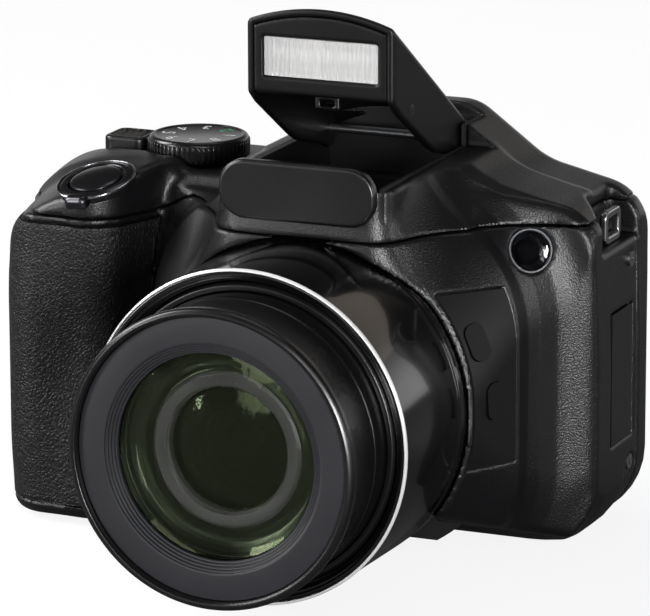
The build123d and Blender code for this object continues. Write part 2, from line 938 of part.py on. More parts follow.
with BuildPart() as zoom_motor:
    with BuildSketch(pinion_plane.offset(flange_front - flange_depth - cam_rear)):
        Circle(motor_radius)
    extrude(amount=-motor_length)
    with BuildSketch(pinion_plane.offset(flange_front - flange_depth - cam_rear)):
        Circle(shaft_radius + running_gap)
    extrude(amount=-motor_bore_depth, mode=Mode.SUBTRACT)

# Telescoping barrels
middle_groove_depth = 0.25
middle_lip = 1.0
middle_barrel = turned([
    (middle_rear, middle_inner),
    (middle_front, middle_inner),
    (middle_front, middle_outer - middle_groove_depth),
    (middle_front - middle_lip, middle_outer),
    (middle_rear, middle_outer),
])

flange_step = 0.5
flange_groove = 0.8
name_ring_outer = 26.6
name_ring_inner = 21.2
name_ring_sink = 1.3
name_ring_depth = 0.8
rib_ring_inner = 19.6
rib_step = 0.55
rib_count = 4
front_glass_radius = 19.4
front_glass_depth = 4.4
front_glass_sink = 4.0
baffle_rear = 60.0
baffle_rear_radius = 12.4
baffle_wall = 1.0
flange_rear_ahead = front_end - front_flange_depth
seat_ahead = front_end - name_ring_sink - name_ring_depth
front_barrel = turned([
    (front_rear, front_inner),
    (flange_rear_ahead - flange_groove, front_inner),
    (flange_rear_ahead - flange_groove, front_inner - flange_groove),
    (seat_ahead, front_inner - flange_groove),
    (seat_ahead, name_ring_outer),
    (front_end - flange_step, name_ring_outer),
    (front_end, name_ring_outer + flange_step),
    (front_end, front_flange_radius - flange_step),
    (front_end - flange_step, front_flange_radius),
    (front_end - flange_groove, front_flange_radius),
    (front_end - flange_groove, front_flange_radius - flange_step),
    (front_end - 2 * flange_groove, front_flange_radius - flange_step),
    (front_end - 2 * flange_groove, front_flange_radius),
    (flange_rear_ahead, front_flange_radius),
    (flange_rear_ahead, front_outer),
    (front_rear, front_outer),
])
name_ring = turned([
    (seat_ahead, name_ring_inner),
    (seat_ahead + name_ring_depth, name_ring_inner),
    (seat_ahead + name_ring_depth, name_ring_outer),
    (seat_ahead, name_ring_outer),
])

# Stepped inner ring that holds the front glass, and the dark cone behind it
rib_fall = (name_ring_inner - rib_ring_inner) / rib_count
steps = []
for step in range(rib_count):
    radius = name_ring_inner - step * rib_fall
    ahead = seat_ahead - step * rib_step
    steps += [(ahead, radius), (ahead - rib_step, radius)]
glass_front = front_end - front_glass_sink
glass_rear = glass_front - front_glass_depth
front_baffle = turned(steps + [
    (glass_front, rib_ring_inner),
    (glass_front, front_glass_radius),
    (glass_rear, front_glass_radius),
    (glass_rear, front_glass_radius - baffle_wall),
    (baffle_rear, baffle_rear_radius),
    (baffle_rear, baffle_rear_radius + baffle_wall),
    (glass_rear, front_glass_radius + baffle_wall),
    (glass_rear, front_inner - flange_groove),
    (seat_ahead, front_inner - flange_groove),
])


def lens_element(front, depth, radius, front_rise, rear_rise):
    """A glass element with a domed front face and a hollow rear face."""
    rear = front - depth
    front_sphere = (radius ** 2 + front_rise ** 2) / (2 * front_rise)
    front_fall = front_sphere - sqrt(front_sphere ** 2 - radius ** 2 / 4)
    rear_sphere = (radius ** 2 + rear_rise ** 2) / (2 * rear_rise)
    rear_fall = rear_sphere - sqrt(rear_sphere ** 2 - radius ** 2 / 4)
    front_pole = (-front - front_rise, lens_z)
    rear_pole = (-rear - rear_rise, lens_z)
    front_rim = (-front, lens_z + radius)
    rear_rim = (-rear, lens_z + radius)
    half_way = lens_z + radius / 2
    with BuildPart() as piece:
        with BuildSketch(Plane.YZ):
            with BuildLine():
                ThreePointArc(front_pole, (front_pole[0] + front_fall, half_way), front_rim)
                Line(front_rim, rear_rim)
                ThreePointArc(rear_rim, (rear_pole[0] + rear_fall, half_way), rear_pole)
                Line(rear_pole, front_pole)
            make_face()
        revolve(axis=lens_axis)
    return piece


front_glass_rise = 1.8
front_glass_rear_rise = 0.6
front_element = lens_element(
    glass_front, front_glass_depth, front_glass_radius - running_gap,
    front_glass_rise, front_glass_rear_rise,
)
second_radius = baffle_rear_radius - running_gap
second_depth = 3.0
second_rise = 1.6
second_rear_rise = 0.5
second_element = lens_element(
    baffle_rear + second_depth, second_depth, second_radius, second_rise, second_rear_rise,
)

# Iris housing behind the second element
iris_front = 56.0
iris_depth = 6.0
iris_bore = 5.5
iris_cone_radius = 11.0
iris_unit = turned([
    (iris_front - iris_depth, iris_bore),
    (iris_front - iris_depth / 2, iris_bore),
    (iris_front, iris_cone_radius),
    (iris_front, front_inner),
    (iris_front - iris_depth, front_inner),
])

# Focus group on its guide rods
focus_front = 13.0
focus_depth = 4.0
focus_cell_radius = 21.8
focus_glass_radius = 11.0
focus_rise = 1.2
focus_rear_rise = 0.4
focus_travel = 3.0
focus_wall = 1.6
focus_rear = focus_front - focus_depth
with BuildPart() as focus_cell:
    add(tube(focus_glass_radius + focus_wall, focus_glass_radius, focus_front, focus_rear).part)
    with BuildSketch(lens_plane(focus_rear)):
        Rectangle(2 * focus_cell_radius, 4 * focus_wall)
        Circle(focus_glass_radius, mode=Mode.SUBTRACT)
    extrude(amount=focus_wall)
    with BuildSketch(lens_plane(focus_rear)):
        with Locations((-rod_place, 0), (rod_place, 0)):
            Circle(rod_radius + running_gap)
    extrude(amount=focus_depth, mode=Mode.SUBTRACT)
focus_element = lens_element(
    focus_front, focus_depth, focus_glass_radius, focus_rise, focus_rear_rise,
)

# Boards, battery and card
board_y = 6.8
board_depth = 1.2
board_left = -44.0
board_right = 42.0
board_bottom = 4.0
board_top = 62.0
chassis_depth = 1.0
chassis_post = 3.0
post_inset_x = 4.0
post_inset_z = 4.5
chassis_y = board_y + board_depth
main_board = block((board_left, board_right), (board_y, chassis_y), (board_bottom, board_top))
post_x = (board_left + post_inset_x, board_right - post_inset_x)
post_z = (board_bottom + post_inset_z, board_top - post_inset_z)
with BuildPart() as chassis:
    plate_y = (chassis_y, chassis_y + chassis_depth)
    add(block((board_left, board_right), plate_y, (board_bottom, board_top)).part)
    with BuildSketch(facing(-chassis_y)):
        with Locations(*[(x, z) for x in post_x for z in post_z]):
            Circle(chassis_post / 2)
    extrude(amount=-(body_back - case_wall - chassis_y))

usb_width = 8.0
usb_height = 9.0
usb_depth = 3.2
usb_z = 33.0
usb_wall = 0.5
usb_right = body_right - case_wall - fit_gap
with BuildPart() as data_socket:
    usb_x = (usb_right - usb_width, usb_right)
    usb_y = (board_y - usb_depth, board_y)
    usb_span = (usb_z - usb_height / 2, usb_z + usb_height / 2)
    add(block(usb_x, usb_y, usb_span).part)
    mouth_x = (usb_x[0] + usb_wall, usb_x[1])
    mouth_y = (usb_y[0] + usb_wall, usb_y[1] - usb_wall)
    mouth_span = (usb_span[0] + usb_wall, usb_span[1] - usb_wall)
    add(block(mouth_x, mouth_y, mouth_span).part, mode=Mode.SUBTRACT)

battery_x = -61.5
battery_thickness = 6.9
battery_length = 41.8
battery_width = 20.0
battery_y = -13.0
battery_floor = case_wall + fit_gap
battery = block(
    (battery_x, battery_x + battery_thickness),
    (battery_y, battery_y + battery_width),
    (battery_floor, battery_floor + battery_length),
)
card_x = -52.5
card_thickness = 2.1
card_width = 20.0
card_length = 32.0
memory_card = block(
    (card_x, card_x + card_thickness),
    (battery_y, battery_y + card_width),
    (battery_floor, battery_floor + card_length),
)

window_back = body_back - window_inset - window_depth
with BuildPart() as lcd_panel:
    with BuildSketch(facing(-window_back)):
        with Locations((screen_x, screen_z)):
            Rectangle(lcd_width - fit_gap, lcd_height - fit_gap)
    extrude(amount=lcd_depth)
with BuildPart() as screen_window:
    with BuildSketch(facing(-window_back)):
        with Locations((screen_x, screen_z)):
            RectangleRounded(screen_width, screen_height, screen_round)
    extrude(amount=-window_depth)

# Controls on the back
rear_dial_ribs = 36
rear_dial_rib = 0.25
rear_dial_seat = body_back - rear_dial_depth + running_gap
with BuildPart() as rear_dial:
    with BuildSketch(facing(-rear_dial_seat)):
        with Locations((rear_dial_x, rear_dial_z)):
            Circle(rear_dial_radius)
            with PolarLocations(rear_dial_radius, rear_dial_ribs):
                Circle(rear_dial_rib, mode=Mode.SUBTRACT)
            Circle(set_button_radius + running_gap, mode=Mode.SUBTRACT)
    extrude(amount=-rear_dial_depth)
    with BuildSketch(facing(-rear_dial_seat)):
        with Locations((rear_dial_x, rear_dial_z)):
            Circle(rear_dial_hub - running_gap)
            Circle(set_button_radius + running_gap, mode=Mode.SUBTRACT)
    extrude(amount=case_wall - rear_dial_depth)

set_button_length = 3.4
set_button_proud = 0.4
with BuildPart() as set_button:
    with BuildSketch(facing(-body_back - set_button_proud)):
        with Locations((rear_dial_x, rear_dial_z)):
            Circle(set_button_radius)
    extrude(amount=set_button_length)
    fillet(set_button.faces().sort_by(Axis.Y)[-1].edges(), fit_gap)


def rear_button(place):
    """A round sprung button with its stem, proud of the back."""
    with BuildPart() as piece:
        with BuildSketch(facing(-body_back - button_proud)):
            with Locations(place):
                Circle(button_radius)
        extrude(amount=button_proud + button_pocket - button_travel - running_gap)
        fillet(piece.faces().sort_by(Axis.Y)[-1].edges(), fit_gap)
        with BuildSketch(facing(-body_back)):
            with Locations(place):
                Circle(button_stem)
        extrude(amount=case_wall)
    return piece


rear_pieces = {name: rear_button(place) for name, place in rear_buttons.items()}

# Controls on the top
with BuildPart() as mode_dial:
    with BuildSketch(level(dial_bottom)):
        with Locations((dial_x, dial_y)):
            Circle(dial_radius)
            with PolarLocations(dial_radius, dial_ribs):
                Circle(dial_rib_radius, mode=Mode.SUBTRACT)
    extrude(amount=dial_top - dial_bottom)
    with BuildSketch(level(dial_top - dial_shaft_length)):
        with Locations((dial_x, dial_y)):
            Circle(dial_shaft)
    extrude(amount=dial_shaft_length)

with BuildPart() as power_switch:
    with BuildSketch(level(power_bottom + power_travel + running_gap)):
        with Locations((power_x, power_y)):
            RectangleRounded(power_width, power_length, power_round - power_slide_gap)
    extrude(amount=power_top - power_bottom - power_travel - running_gap)
    fillet(power_switch.faces().sort_by(Axis.Z)[-1].edges(), power_rib)
    rib_pitch = power_width / (power_ribs + 1)
    with BuildSketch(level(power_top)):
        with Locations((power_x, power_y)):
            with GridLocations(rib_pitch, rib_pitch, power_ribs, 1):
                Rectangle(power_rib, power_length)
    extrude(amount=-power_rib, mode=Mode.SUBTRACT)
    with BuildSketch(level(power_bottom + power_travel + running_gap)):
        with Locations((power_x, power_y)):
            Rectangle(power_guide, power_guide)
    extrude(amount=-power_guide_depth)

with BuildPart() as zoom_lever:
    with BuildSketch(cap_plane.offset(-lever_recess + running_gap)):
        Circle(lever_radius)
        Circle(lever_inner, mode=Mode.SUBTRACT)
    extrude(amount=lever_height)
    tab_x = (lever_radius + lever_tab_reach / 2) * cos(radians(lever_tab_angle))
    tab_y = (lever_radius + lever_tab_reach / 2) * sin(radians(lever_tab_angle))
    with BuildSketch(cap_plane.offset(fit_gap)):
        with Locations(Location((tab_x, tab_y, 0), (0, 0, lever_tab_angle))):
            Rectangle(2 * lever_tab_reach, lever_tab_width)
    extrude(amount=lever_tab_height)

shutter_seat = cap_plane.offset(shutter_travel - lever_recess + running_gap)
with BuildPart() as shutter_button:
    with BuildSketch(shutter_seat):
        Circle(shutter_radius)
    extrude(amount=shutter_height)
    crown_edge = shutter_button.edges().sort_by(Axis(cap_plane.origin, cap_plane.z_dir))[-1]
    fillet(crown_edge, shutter_dome)
    with BuildSketch(shutter_seat):
        Circle(shutter_stem)
    extrude(amount=-(shutter_depth - lever_recess))

# Doors
battery_door = hinged_door(battery_hinge, battery_door_width, battery_door_length)
terminal_door = hinged_door(terminal_hinge, terminal_width, terminal_length)

# Flash bay in the nose, with an ear each side for the hinge pin
hinge_pin_radius = 0.9
hinge_ear_front = 1.2
floor_under = bay_floor - bay_wall
ear_top = flash_hinge_z + flash_end_radius
with BuildPart() as flash_bay:
    tray_depths = (-nose_front + nose_wall, bay_rear)
    add(block((-bay_cut_half, bay_cut_half), tray_depths, (floor_under, bay_floor)).part)
    for side in (-1, 1):
        wall_x = sorted((side * bay_half_width, side * bay_cut_half))
        add(block(wall_x, tray_depths, (bay_floor, bay_rail)).part)
        add(block(wall_x, (hinge_ear_front, bay_rear), (bay_floor, ear_top)).part)
    rear_depths = (bay_rear, bay_rear + bay_wall)
    add(block((-bay_cut_half, bay_cut_half), rear_depths, (floor_under, ear_top)).part)
    with BuildSketch(across(-bay_cut_half)):
        with Locations((flash_hinge_y, flash_hinge_z)):
            Circle(hinge_pin_radius)
    extrude(amount=2 * bay_cut_half, mode=Mode.SUBTRACT)

with BuildPart() as flash_hinge_pin:
    with BuildSketch(across(-bay_cut_half)):
        with Locations((flash_hinge_y, flash_hinge_z)):
            Circle(hinge_pin_radius)
    extrude(amount=2 * bay_cut_half)

# Flash: a roof and two side plates that swing on the pin, with the lamp head in front
roof_rear_height = flash_hinge_z + flash_end_radius
roof_run = flash_face_ahead + flash_hinge_y
roof_slope = atan2(flash_side_top - roof_rear_height, roof_run)
roof_length = roof_run / cos(roof_slope)
plate_foot_ahead = 10.6
plate_foot_z = 76.2
plate_bend_ahead = 14.0
plate_bend_z = 78.0
chin_set_back = 3.0
chin_drop = 2.5
chin_ahead = flash_face_ahead - chin_set_back
chin_z = flash_head_bottom - chin_drop
hinge_under_z = 72.0
flash_profile = [
    (-flash_face_ahead, flash_head_bottom),
    (-flash_face_ahead, flash_side_top),
    (flash_hinge_y, roof_rear_height),
    (flash_hinge_y, hinge_under_z),
    (-plate_foot_ahead, plate_foot_z),
    (-plate_bend_ahead, plate_bend_z),
    (-chin_ahead, chin_z),
]
roof_plane = Plane(
    origin=(0, flash_hinge_y, roof_rear_height),
    x_dir=(1, 0, 0),
    z_dir=(0, -cos(roof_slope), sin(roof_slope)),
)
ahead_of_face = block(
    (-flash_half_width - overrun, flash_half_width + overrun),
    (-2 * nose_front, -flash_face_ahead),
    (0, 2 * hump_top),
)


def roof_solid(inset):
    """The crowned space under the flash's roof line, drawn inward by inset."""
    half = flash_half_width - inset
    with BuildPart() as piece:
        with BuildSketch(roof_plane):
            with BuildLine():
                ThreePointArc((-half, -inset), (0, flash_crown - inset), (half, -inset))
                Polyline(
                    (half, -inset), (half, -flash_half_width),
                    (-half, -flash_half_width), (-half, -inset),
                )
            make_face()
        extrude(amount=roof_length + flash_half_width)
        add(ahead_of_face.part, mode=Mode.SUBTRACT)
    return piece


under_roof = roof_solid(flash_plate)
with BuildPart() as flash_cover:
    add(roof_solid(0).part)
    add(under_roof.part, mode=Mode.SUBTRACT)
    with BuildSketch(across(-flash_half_width)):
        with BuildLine():
            Polyline(
                (-flash_face_ahead, flash_head_bottom),
                (-flash_face_ahead, 2 * hump_top),
                (flash_hinge_y, 2 * hump_top),
                (flash_hinge_y, hinge_under_z),
                *flash_profile[4:],
                close=True,
            )
        make_face()
    extrude(amount=2 * flash_half_width, mode=Mode.INTERSECT)
    for side in (-1, 1):
        with BuildSketch(across(side * flash_half_width)):
            with BuildLine():
                Polyline(flash_profile, close=True)
            make_face()
            with Locations((flash_hinge_y, flash_hinge_z)):
                Circle(flash_end_radius)
        extrude(amount=-side * flash_plate)
    with BuildSketch(across(-flash_half_width)):
        with Locations((flash_hinge_y, flash_hinge_z)):
            Circle(hinge_pin_radius + running_gap)
    extrude(amount=2 * flash_half_width, mode=Mode.SUBTRACT)

# The head fills the front of the space between the plates
head_half = flash_half_width - flash_plate
window_sink = 0.5
window_glass = 1.4
reflector_wall = 0.6
reflector_depth = 5.0
tube_radius = 1.3
window_z = (flash_window_top + flash_window_bottom) / 2
glass_rear_ahead = flash_face_ahead - window_sink - window_glass
reflector_rear_ahead = glass_rear_ahead - reflector_depth
head_heights = (flash_head_bottom, flash_side_top + flash_crown + flash_crown)
head_rear_ahead = flash_face_ahead - flash_head_depth
head_limits = block((-head_half, head_half), (-flash_face_ahead, -head_rear_ahead), head_heights)
with BuildPart() as flash_head:
    add(under_roof.part)
    add(head_limits.part, mode=Mode.INTERSECT)
    with BuildSketch(facing(flash_face_ahead)):
        with Locations((0, window_z)):
            Rectangle(2 * flash_window_half, flash_window_height)
    extrude(amount=-(window_sink + window_glass + reflector_depth), mode=Mode.SUBTRACT)

with BuildPart() as flash_window:
    with BuildSketch(facing(flash_face_ahead - window_sink)):
        with Locations((0, window_z)):
            Rectangle(2 * flash_window_half, flash_window_height)
    extrude(amount=-window_glass)

with BuildPart() as flash_reflector:
    with BuildSketch(facing(glass_rear_ahead)):
        with Locations((0, window_z)):
            Rectangle(2 * flash_window_half, flash_window_height)
    extrude(amount=-reflector_depth)
    add(under_roof.part, mode=Mode.INTERSECT)
    with BuildSketch(across(-flash_window_half)):
        with BuildLine():
            lip = flash_window_height / 2 - reflector_wall
            ThreePointArc(
                (-glass_rear_ahead, window_z + lip),
                (-reflector_rear_ahead - reflector_wall, window_z),
                (-glass_rear_ahead, window_z - lip),
            )
            Line((-glass_rear_ahead, window_z - lip), (-glass_rear_ahead, window_z + lip))
        make_face()
    extrude(amount=2 * flash_window_half, mode=Mode.SUBTRACT)

with BuildPart() as flash_tube:
    with BuildSketch(across(-flash_window_half)):
        with Locations((-reflector_rear_ahead - reflector_wall - tube_radius - running_gap, window_z)):
            Circle(tube_radius)
    extrude(amount=2 * flash_window_half)

# Assist buttons
assist_pieces = {
    name: assist_button(assist_plane(x, z), 0, assist_depth)
    for name, (x, z) in assist_places.items()
}

pieces = {
    "front_cover": front_cover,
    "rear_cover": rear_cover,
    "top_cover": top_cover,
    "grip_skin": grip_skin,
    "name_plate": name_plate,
    "assist_panel": assist_panel,
    "af_lamp_bezel": af_lamp_bezel,
    "af_lamp_glass": af_lamp_glass,
    "strap_lug_right": strap_lug_right,
    "strap_lug_left": strap_lug_left,
    "side_screws": screws,
    "tripod_socket": tripod_socket,
    "lens_base": lens_base,
    "guide_rods": guide_rods,
    "image_sensor": image_sensor,
    "sensor_bracket": sensor_bracket,
    "lens_shroud": lens_shroud,
    "trim_ring": trim_ring,
    "zoom_motor": zoom_motor,
    "motor_pinion": motor_pinion,
    "cam_ring": cam_ring,
    "middle_barrel": middle_barrel,
    "front_barrel": front_barrel,
    "name_ring": name_ring,
    "front_baffle": front_baffle,
    "front_element": front_element,
    "second_element": second_element,
    "iris_unit": iris_unit,
    "focus_cell": focus_cell,
    "focus_element": focus_element,
    "main_board": main_board,
    "chassis": chassis,
    "data_socket": data_socket,
    "battery": battery,
    "memory_card": memory_card,
    "lcd_panel": lcd_panel,
    "screen_window": screen_window,
    "rear_dial": rear_dial,
    "set_button": set_button,
    "mode_dial": mode_dial,
    "power_switch": power_switch,
    "zoom_lever": zoom_lever,
    "shutter_button": shutter_button,
    "battery_door": battery_door,
    "terminal_door": terminal_door,
    "flash_bay": flash_bay,
    "flash_hinge_pin": flash_hinge_pin,
    "flash_cover": flash_cover,
    "flash_head": flash_head,
    "flash_window": flash_window,
    "flash_reflector": flash_reflector,
    "flash_tube": flash_tube,
}
pieces.update(rear_pieces)
pieces.update(assist_pieces)

os.makedirs("parts", exist_ok=True)
for name, piece in pieces.items():
    piece.part.label = name
    export_step(piece.part, f"parts/{name}.step")
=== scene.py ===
"""The looks of a bridge camera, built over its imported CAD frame.

Sizes are in millimetres in the classes below and become metres when a mesh is made.
The lens looks along -Y, the grip is on the -X side and +Z is up.
"""

import json
import logging
import math
from collections.abc import Iterable, Sequence
from dataclasses import dataclass, field
from enum import Enum
from functools import cached_property

import bmesh
import bpy
import numpy as np
from mathutils import Matrix, Vector

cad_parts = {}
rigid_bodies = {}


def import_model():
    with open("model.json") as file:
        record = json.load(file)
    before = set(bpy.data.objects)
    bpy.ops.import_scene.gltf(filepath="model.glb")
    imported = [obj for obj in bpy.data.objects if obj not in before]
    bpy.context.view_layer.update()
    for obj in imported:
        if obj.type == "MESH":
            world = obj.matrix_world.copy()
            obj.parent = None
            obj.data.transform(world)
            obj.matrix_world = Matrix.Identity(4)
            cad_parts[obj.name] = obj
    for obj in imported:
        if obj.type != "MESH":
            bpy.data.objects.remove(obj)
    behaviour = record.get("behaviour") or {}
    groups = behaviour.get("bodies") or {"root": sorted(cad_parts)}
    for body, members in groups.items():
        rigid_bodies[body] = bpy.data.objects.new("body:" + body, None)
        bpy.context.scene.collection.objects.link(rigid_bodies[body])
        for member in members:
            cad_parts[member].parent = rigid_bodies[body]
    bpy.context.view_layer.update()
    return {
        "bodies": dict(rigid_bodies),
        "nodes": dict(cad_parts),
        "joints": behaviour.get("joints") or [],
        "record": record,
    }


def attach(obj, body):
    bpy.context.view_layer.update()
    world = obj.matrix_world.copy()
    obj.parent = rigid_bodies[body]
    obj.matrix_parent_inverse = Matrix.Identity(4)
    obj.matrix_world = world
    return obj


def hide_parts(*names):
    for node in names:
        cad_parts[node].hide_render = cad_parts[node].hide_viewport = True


MM = 0.001
log = logging.getLogger("bridge_camera")


def linear(hex_colour: str) -> tuple[float, float, float, float]:
    """Turn an sRGB hex colour into linear light.

    Args:
        hex_colour: six hex digits, such as "1a1a1c".

    Returns:
        Red, green, blue and an alpha of 1.
    """
    parts = [int(hex_colour[i:i + 2], 16) / 255 for i in (0, 2, 4)]
    turned = [p / 12.92 if p <= 0.04045 else ((p + 0.055) / 1.055) ** 2.4 for p in parts]
    return (*turned, 1.0)


def add_node(tree: bpy.types.NodeTree, kind: str, settings: dict | None = None,
             links: dict | None = None) -> bpy.types.Node:
    """Add a node with its settings and its incoming links.

    Args:
        tree: the node tree to add to.
        kind: Blender's name of the node type.
        settings: attributes, or input sockets by name or number, and their values.
        links: input sockets by name or number, and the output sockets that feed them.

    Returns:
        The new node.
    """
    node = tree.nodes.new(kind)
    for key, value in (settings or {}).items():
        if isinstance(key, int) or key in node.inputs:
            node.inputs[key].default_value = value
        else:
            setattr(node, key, value)
    for key, source in (links or {}).items():
        tree.links.new(source, node.inputs[key])
    return node


class Surface(Enum):
    """How a finish was made, which settles its fine relief."""

    MOULDED = "moulded"
    GRAINED = "grained"
    SPUN = "spun"
    SMOOTH = "smooth"


@dataclass(frozen=True)
class Finish:
    """One real finish: its colour, gloss and fine relief.

    The wear is a slow unevenness of shade and gloss, in patches of about 17 mm.
    """

    name: str
    colour: str
    roughness: float
    surface: Surface = Surface.SMOOTH
    metallic: float = 0.0
    ior: float = 1.5
    grain_mm: float = 0.3
    relief_mm: float = 0.02
    mottle: float = 0.06
    coat: float = 0.0
    coat_roughness: float = 0.08
    transmission: float = 0.0
    specular: float = 0.5
    tint: str = "ffffff"
    wear_cells: float = 60.0
    wear_spread: float = 0.08

    def grain(self, tree: bpy.types.NodeTree, place: bpy.types.NodeSocket) -> bpy.types.NodeSocket:
        """Build the height pattern of the finish.

        Args:
            tree: the material's node tree.
            place: the Object coordinates.

        Returns:
            A height from 0 to 1.
        """
        cells_per_metre = 1000.0 / self.grain_mm
        if self.surface is Surface.GRAINED:
            warp = add_node(tree, "ShaderNodeTexNoise",
                            {"Scale": cells_per_metre * 0.35, "Detail": 2.0}, {"Vector": place})
            bent = add_node(tree, "ShaderNodeMixRGB", {"blend_type": "LINEAR_LIGHT", 0: 0.0008},
                            {1: place, 2: warp.outputs["Color"]})
            cells = add_node(tree, "ShaderNodeTexVoronoi",
                             {"feature": "DISTANCE_TO_EDGE", "Scale": cells_per_metre},
                             {"Vector": bent.outputs[0]})
            pebble = add_node(tree, "ShaderNodeMapRange",
                              {"From Max": 0.28, "interpolation_type": "SMOOTHSTEP"},
                              {"Value": cells.outputs["Distance"]})
            return pebble.outputs["Result"]
        if self.surface is Surface.SPUN:
            rings = add_node(tree, "ShaderNodeTexWave",
                             {"wave_type": "RINGS", "rings_direction": "Z",
                              "Scale": cells_per_metre / 6.0, "Distortion": 0.3},
                             {"Vector": place})
            return rings.outputs["Fac"]
        noise = add_node(tree, "ShaderNodeTexNoise",
                         {"Scale": cells_per_metre, "Detail": 1.0, "Roughness": 0.5},
                         {"Vector": place})
        return noise.outputs["Fac"]

    def material(self) -> bpy.types.Material:
        """Build the finish as a procedural material.

        Returns:
            The material, made once and shared after that.
        """
        known = bpy.data.materials.get(self.name)
        if known:
            return known
        material = bpy.data.materials.new(self.name)
        material.use_nodes = True
        tree = material.node_tree
        tree.nodes.clear()
        place = add_node(tree, "ShaderNodeTexCoord").outputs["Object"]
        shader = add_node(tree, "ShaderNodeBsdfPrincipled", {
            "Base Color": linear(self.colour), "Roughness": self.roughness,
            "Metallic": self.metallic, "IOR": self.ior, "Coat Weight": self.coat,
            "Coat Roughness": self.coat_roughness, "Transmission Weight": self.transmission,
            "Specular IOR Level": self.specular, "Specular Tint": linear(self.tint)})
        if self.mottle:
            base = linear(self.colour)
            wear = add_node(tree, "ShaderNodeTexNoise", {"Scale": self.wear_cells, "Detail": 4.0},
                            {"Vector": place}).outputs["Fac"]
            shade = add_node(tree, "ShaderNodeMixRGB", {
                1: (*[c * (1 - self.mottle) for c in base[:3]], 1.0),
                2: (*[min(1, c * (1 + self.mottle)) for c in base[:3]], 1.0)}, {0: wear})
            smoother = max(0.02, self.roughness * (1 - self.wear_spread))
            rougher = min(1.0, self.roughness * (1 + self.wear_spread))
            spread = add_node(tree, "ShaderNodeMapRange", {
                "From Min": 0.3, "From Max": 0.7, "To Min": smoother, "To Max": rougher},
                {"Value": wear})
            tree.links.new(shade.outputs[0], shader.inputs["Base Color"])
            tree.links.new(spread.outputs["Result"], shader.inputs["Roughness"])
        if self.relief_mm:
            bump = add_node(tree, "ShaderNodeBump",
                            {"Strength": 1.0, "Distance": self.relief_mm * MM},
                            {"Height": self.grain(tree, place)})
            tree.links.new(bump.outputs["Normal"], shader.inputs["Normal"])
        add_node(tree, "ShaderNodeOutputMaterial", {}, {"Surface": shader.outputs["BSDF"]})
        return material


# A moulded, blasted or turned grain is really under 0.1 mm. In each finish below it is drawn at
# 0.3 mm or more, which is as coarse as it needs to show in the render.

# Spark-eroded polycarbonate of the case: broad soft highlights on black
BODY = Finish("satin_polycarbonate", "08080a", 0.35, Surface.MOULDED, grain_mm=0.3,
              relief_mm=0.075, specular=0.45)
# Leather-grained elastomer: pebbles that catch the light on a dull ground
GRIP = Finish("grained_elastomer", "0e0e0f", 0.46, Surface.GRAINED, grain_mm=0.8,
              relief_mm=0.075, specular=0.4)
# Black-chromed zinc on the tab of the zoom lever: a grey metal with sharp highlights
LEVER = Finish("black_chrome", "4c4c50", 0.3, Surface.SMOOTH, metallic=1.0, relief_mm=0.0)
# Piano-gloss lacquer on the lens shroud: long reflections, as in a mirror
GLOSS = Finish("gloss_lacquer", "060505", 0.15, Surface.MOULDED, grain_mm=2.0, relief_mm=0.002,
               coat=0.6, coat_roughness=0.05)
# Black anodised aluminium barrels: a dark sheen that follows the curve
BARREL = Finish("black_anodised_aluminium", "0a0a0b", 0.28, Surface.MOULDED, grain_mm=0.3,
                relief_mm=0.008)
# Satin paint on the face ring: greyer than the barrels, with no sharp highlight
RING_FACE = Finish("satin_black_ring", "1f1f23", 0.4, Surface.MOULDED, grain_mm=0.3,
                   relief_mm=0.01)
# Flocking inside the lens: it takes the light, so that the throat looks deep
BAFFLE = Finish("flocked_black_baffle", "070708", 0.55, Surface.MOULDED, grain_mm=0.3,
                relief_mm=0.02)
# Matt acrylic panel under the oval buttons: flat black, with hardly a highlight
PANEL = Finish("matt_acrylic_panel", "070708", 0.5, Surface.MOULDED, grain_mm=0.5,
               relief_mm=0.01, specular=0.25)
# Semi-gloss ABS of the buttons and the switch: small crisp highlights along the edges
BUTTON = Finish("semi_gloss_abs", "09090a", 0.32, Surface.MOULDED, grain_mm=0.5, relief_mm=0.006)
# Bright silver plating on the trim ring, part matt near-white that paints its reflection: a
# near-white line round the shroud's mouth
SILVER_PAINTED_REFLECTION = Finish("silver_plating_painted_reflection", "f4f4f4", 0.22, Surface.SPUN, metallic=0.45, grain_mm=0.3,
                relief_mm=0.002, mottle=0.0)
# Matt ABS of the two oval buttons: they show by their edges alone
PAD = Finish("matt_button_pad", "060607", 0.55, Surface.MOULDED, grain_mm=0.4, relief_mm=0.01,
             specular=0.2)
# Bright nickel plate on the strap loops and the lever's lip: neutral, with mirror highlights
NICKEL = Finish("bright_nickel", "a8a8aa", 0.22, Surface.SPUN, metallic=1.0, grain_mm=0.4,
                relief_mm=0.004)
# Spun black nickel on the shutter button and the lever ring: dark metal with turned highlights
SHUTTER = Finish("spun_black_nickel", "3a3a3d", 0.22, Surface.SPUN, metallic=0.9, grain_mm=0.35,
                 relief_mm=0.004)
# Zinc-plated steel of screws, rods and brackets: plain grey with a spread sheen
STEEL = Finish("zinc_plated_steel", "8e8f92", 0.35, Surface.SPUN, metallic=1.0, grain_mm=0.4,
               relief_mm=0.004)
# Turned brass of the motor's pinion: a warm yellow metal
BRASS = Finish("turned_brass", "b08d4a", 0.3, Surface.SPUN, metallic=1.0, grain_mm=0.4,
               relief_mm=0.004)
# Polished crown glass without a coat: clear, seen by its reflections
GLASS = Finish("optical_crown_glass", "f2fbf6", 0.02, Surface.SMOOTH, relief_mm=0.0,
               transmission=1.0, ior=1.52, mottle=0.0)
# Smoked glass over the focus lamp: clear and sharp, but it darkens the cup behind it
SMOKED = Finish("smoked_lamp_glass", "85858c", 0.03, Surface.SMOOTH, relief_mm=0.0,
                transmission=1.0, ior=1.3, mottle=0.0)
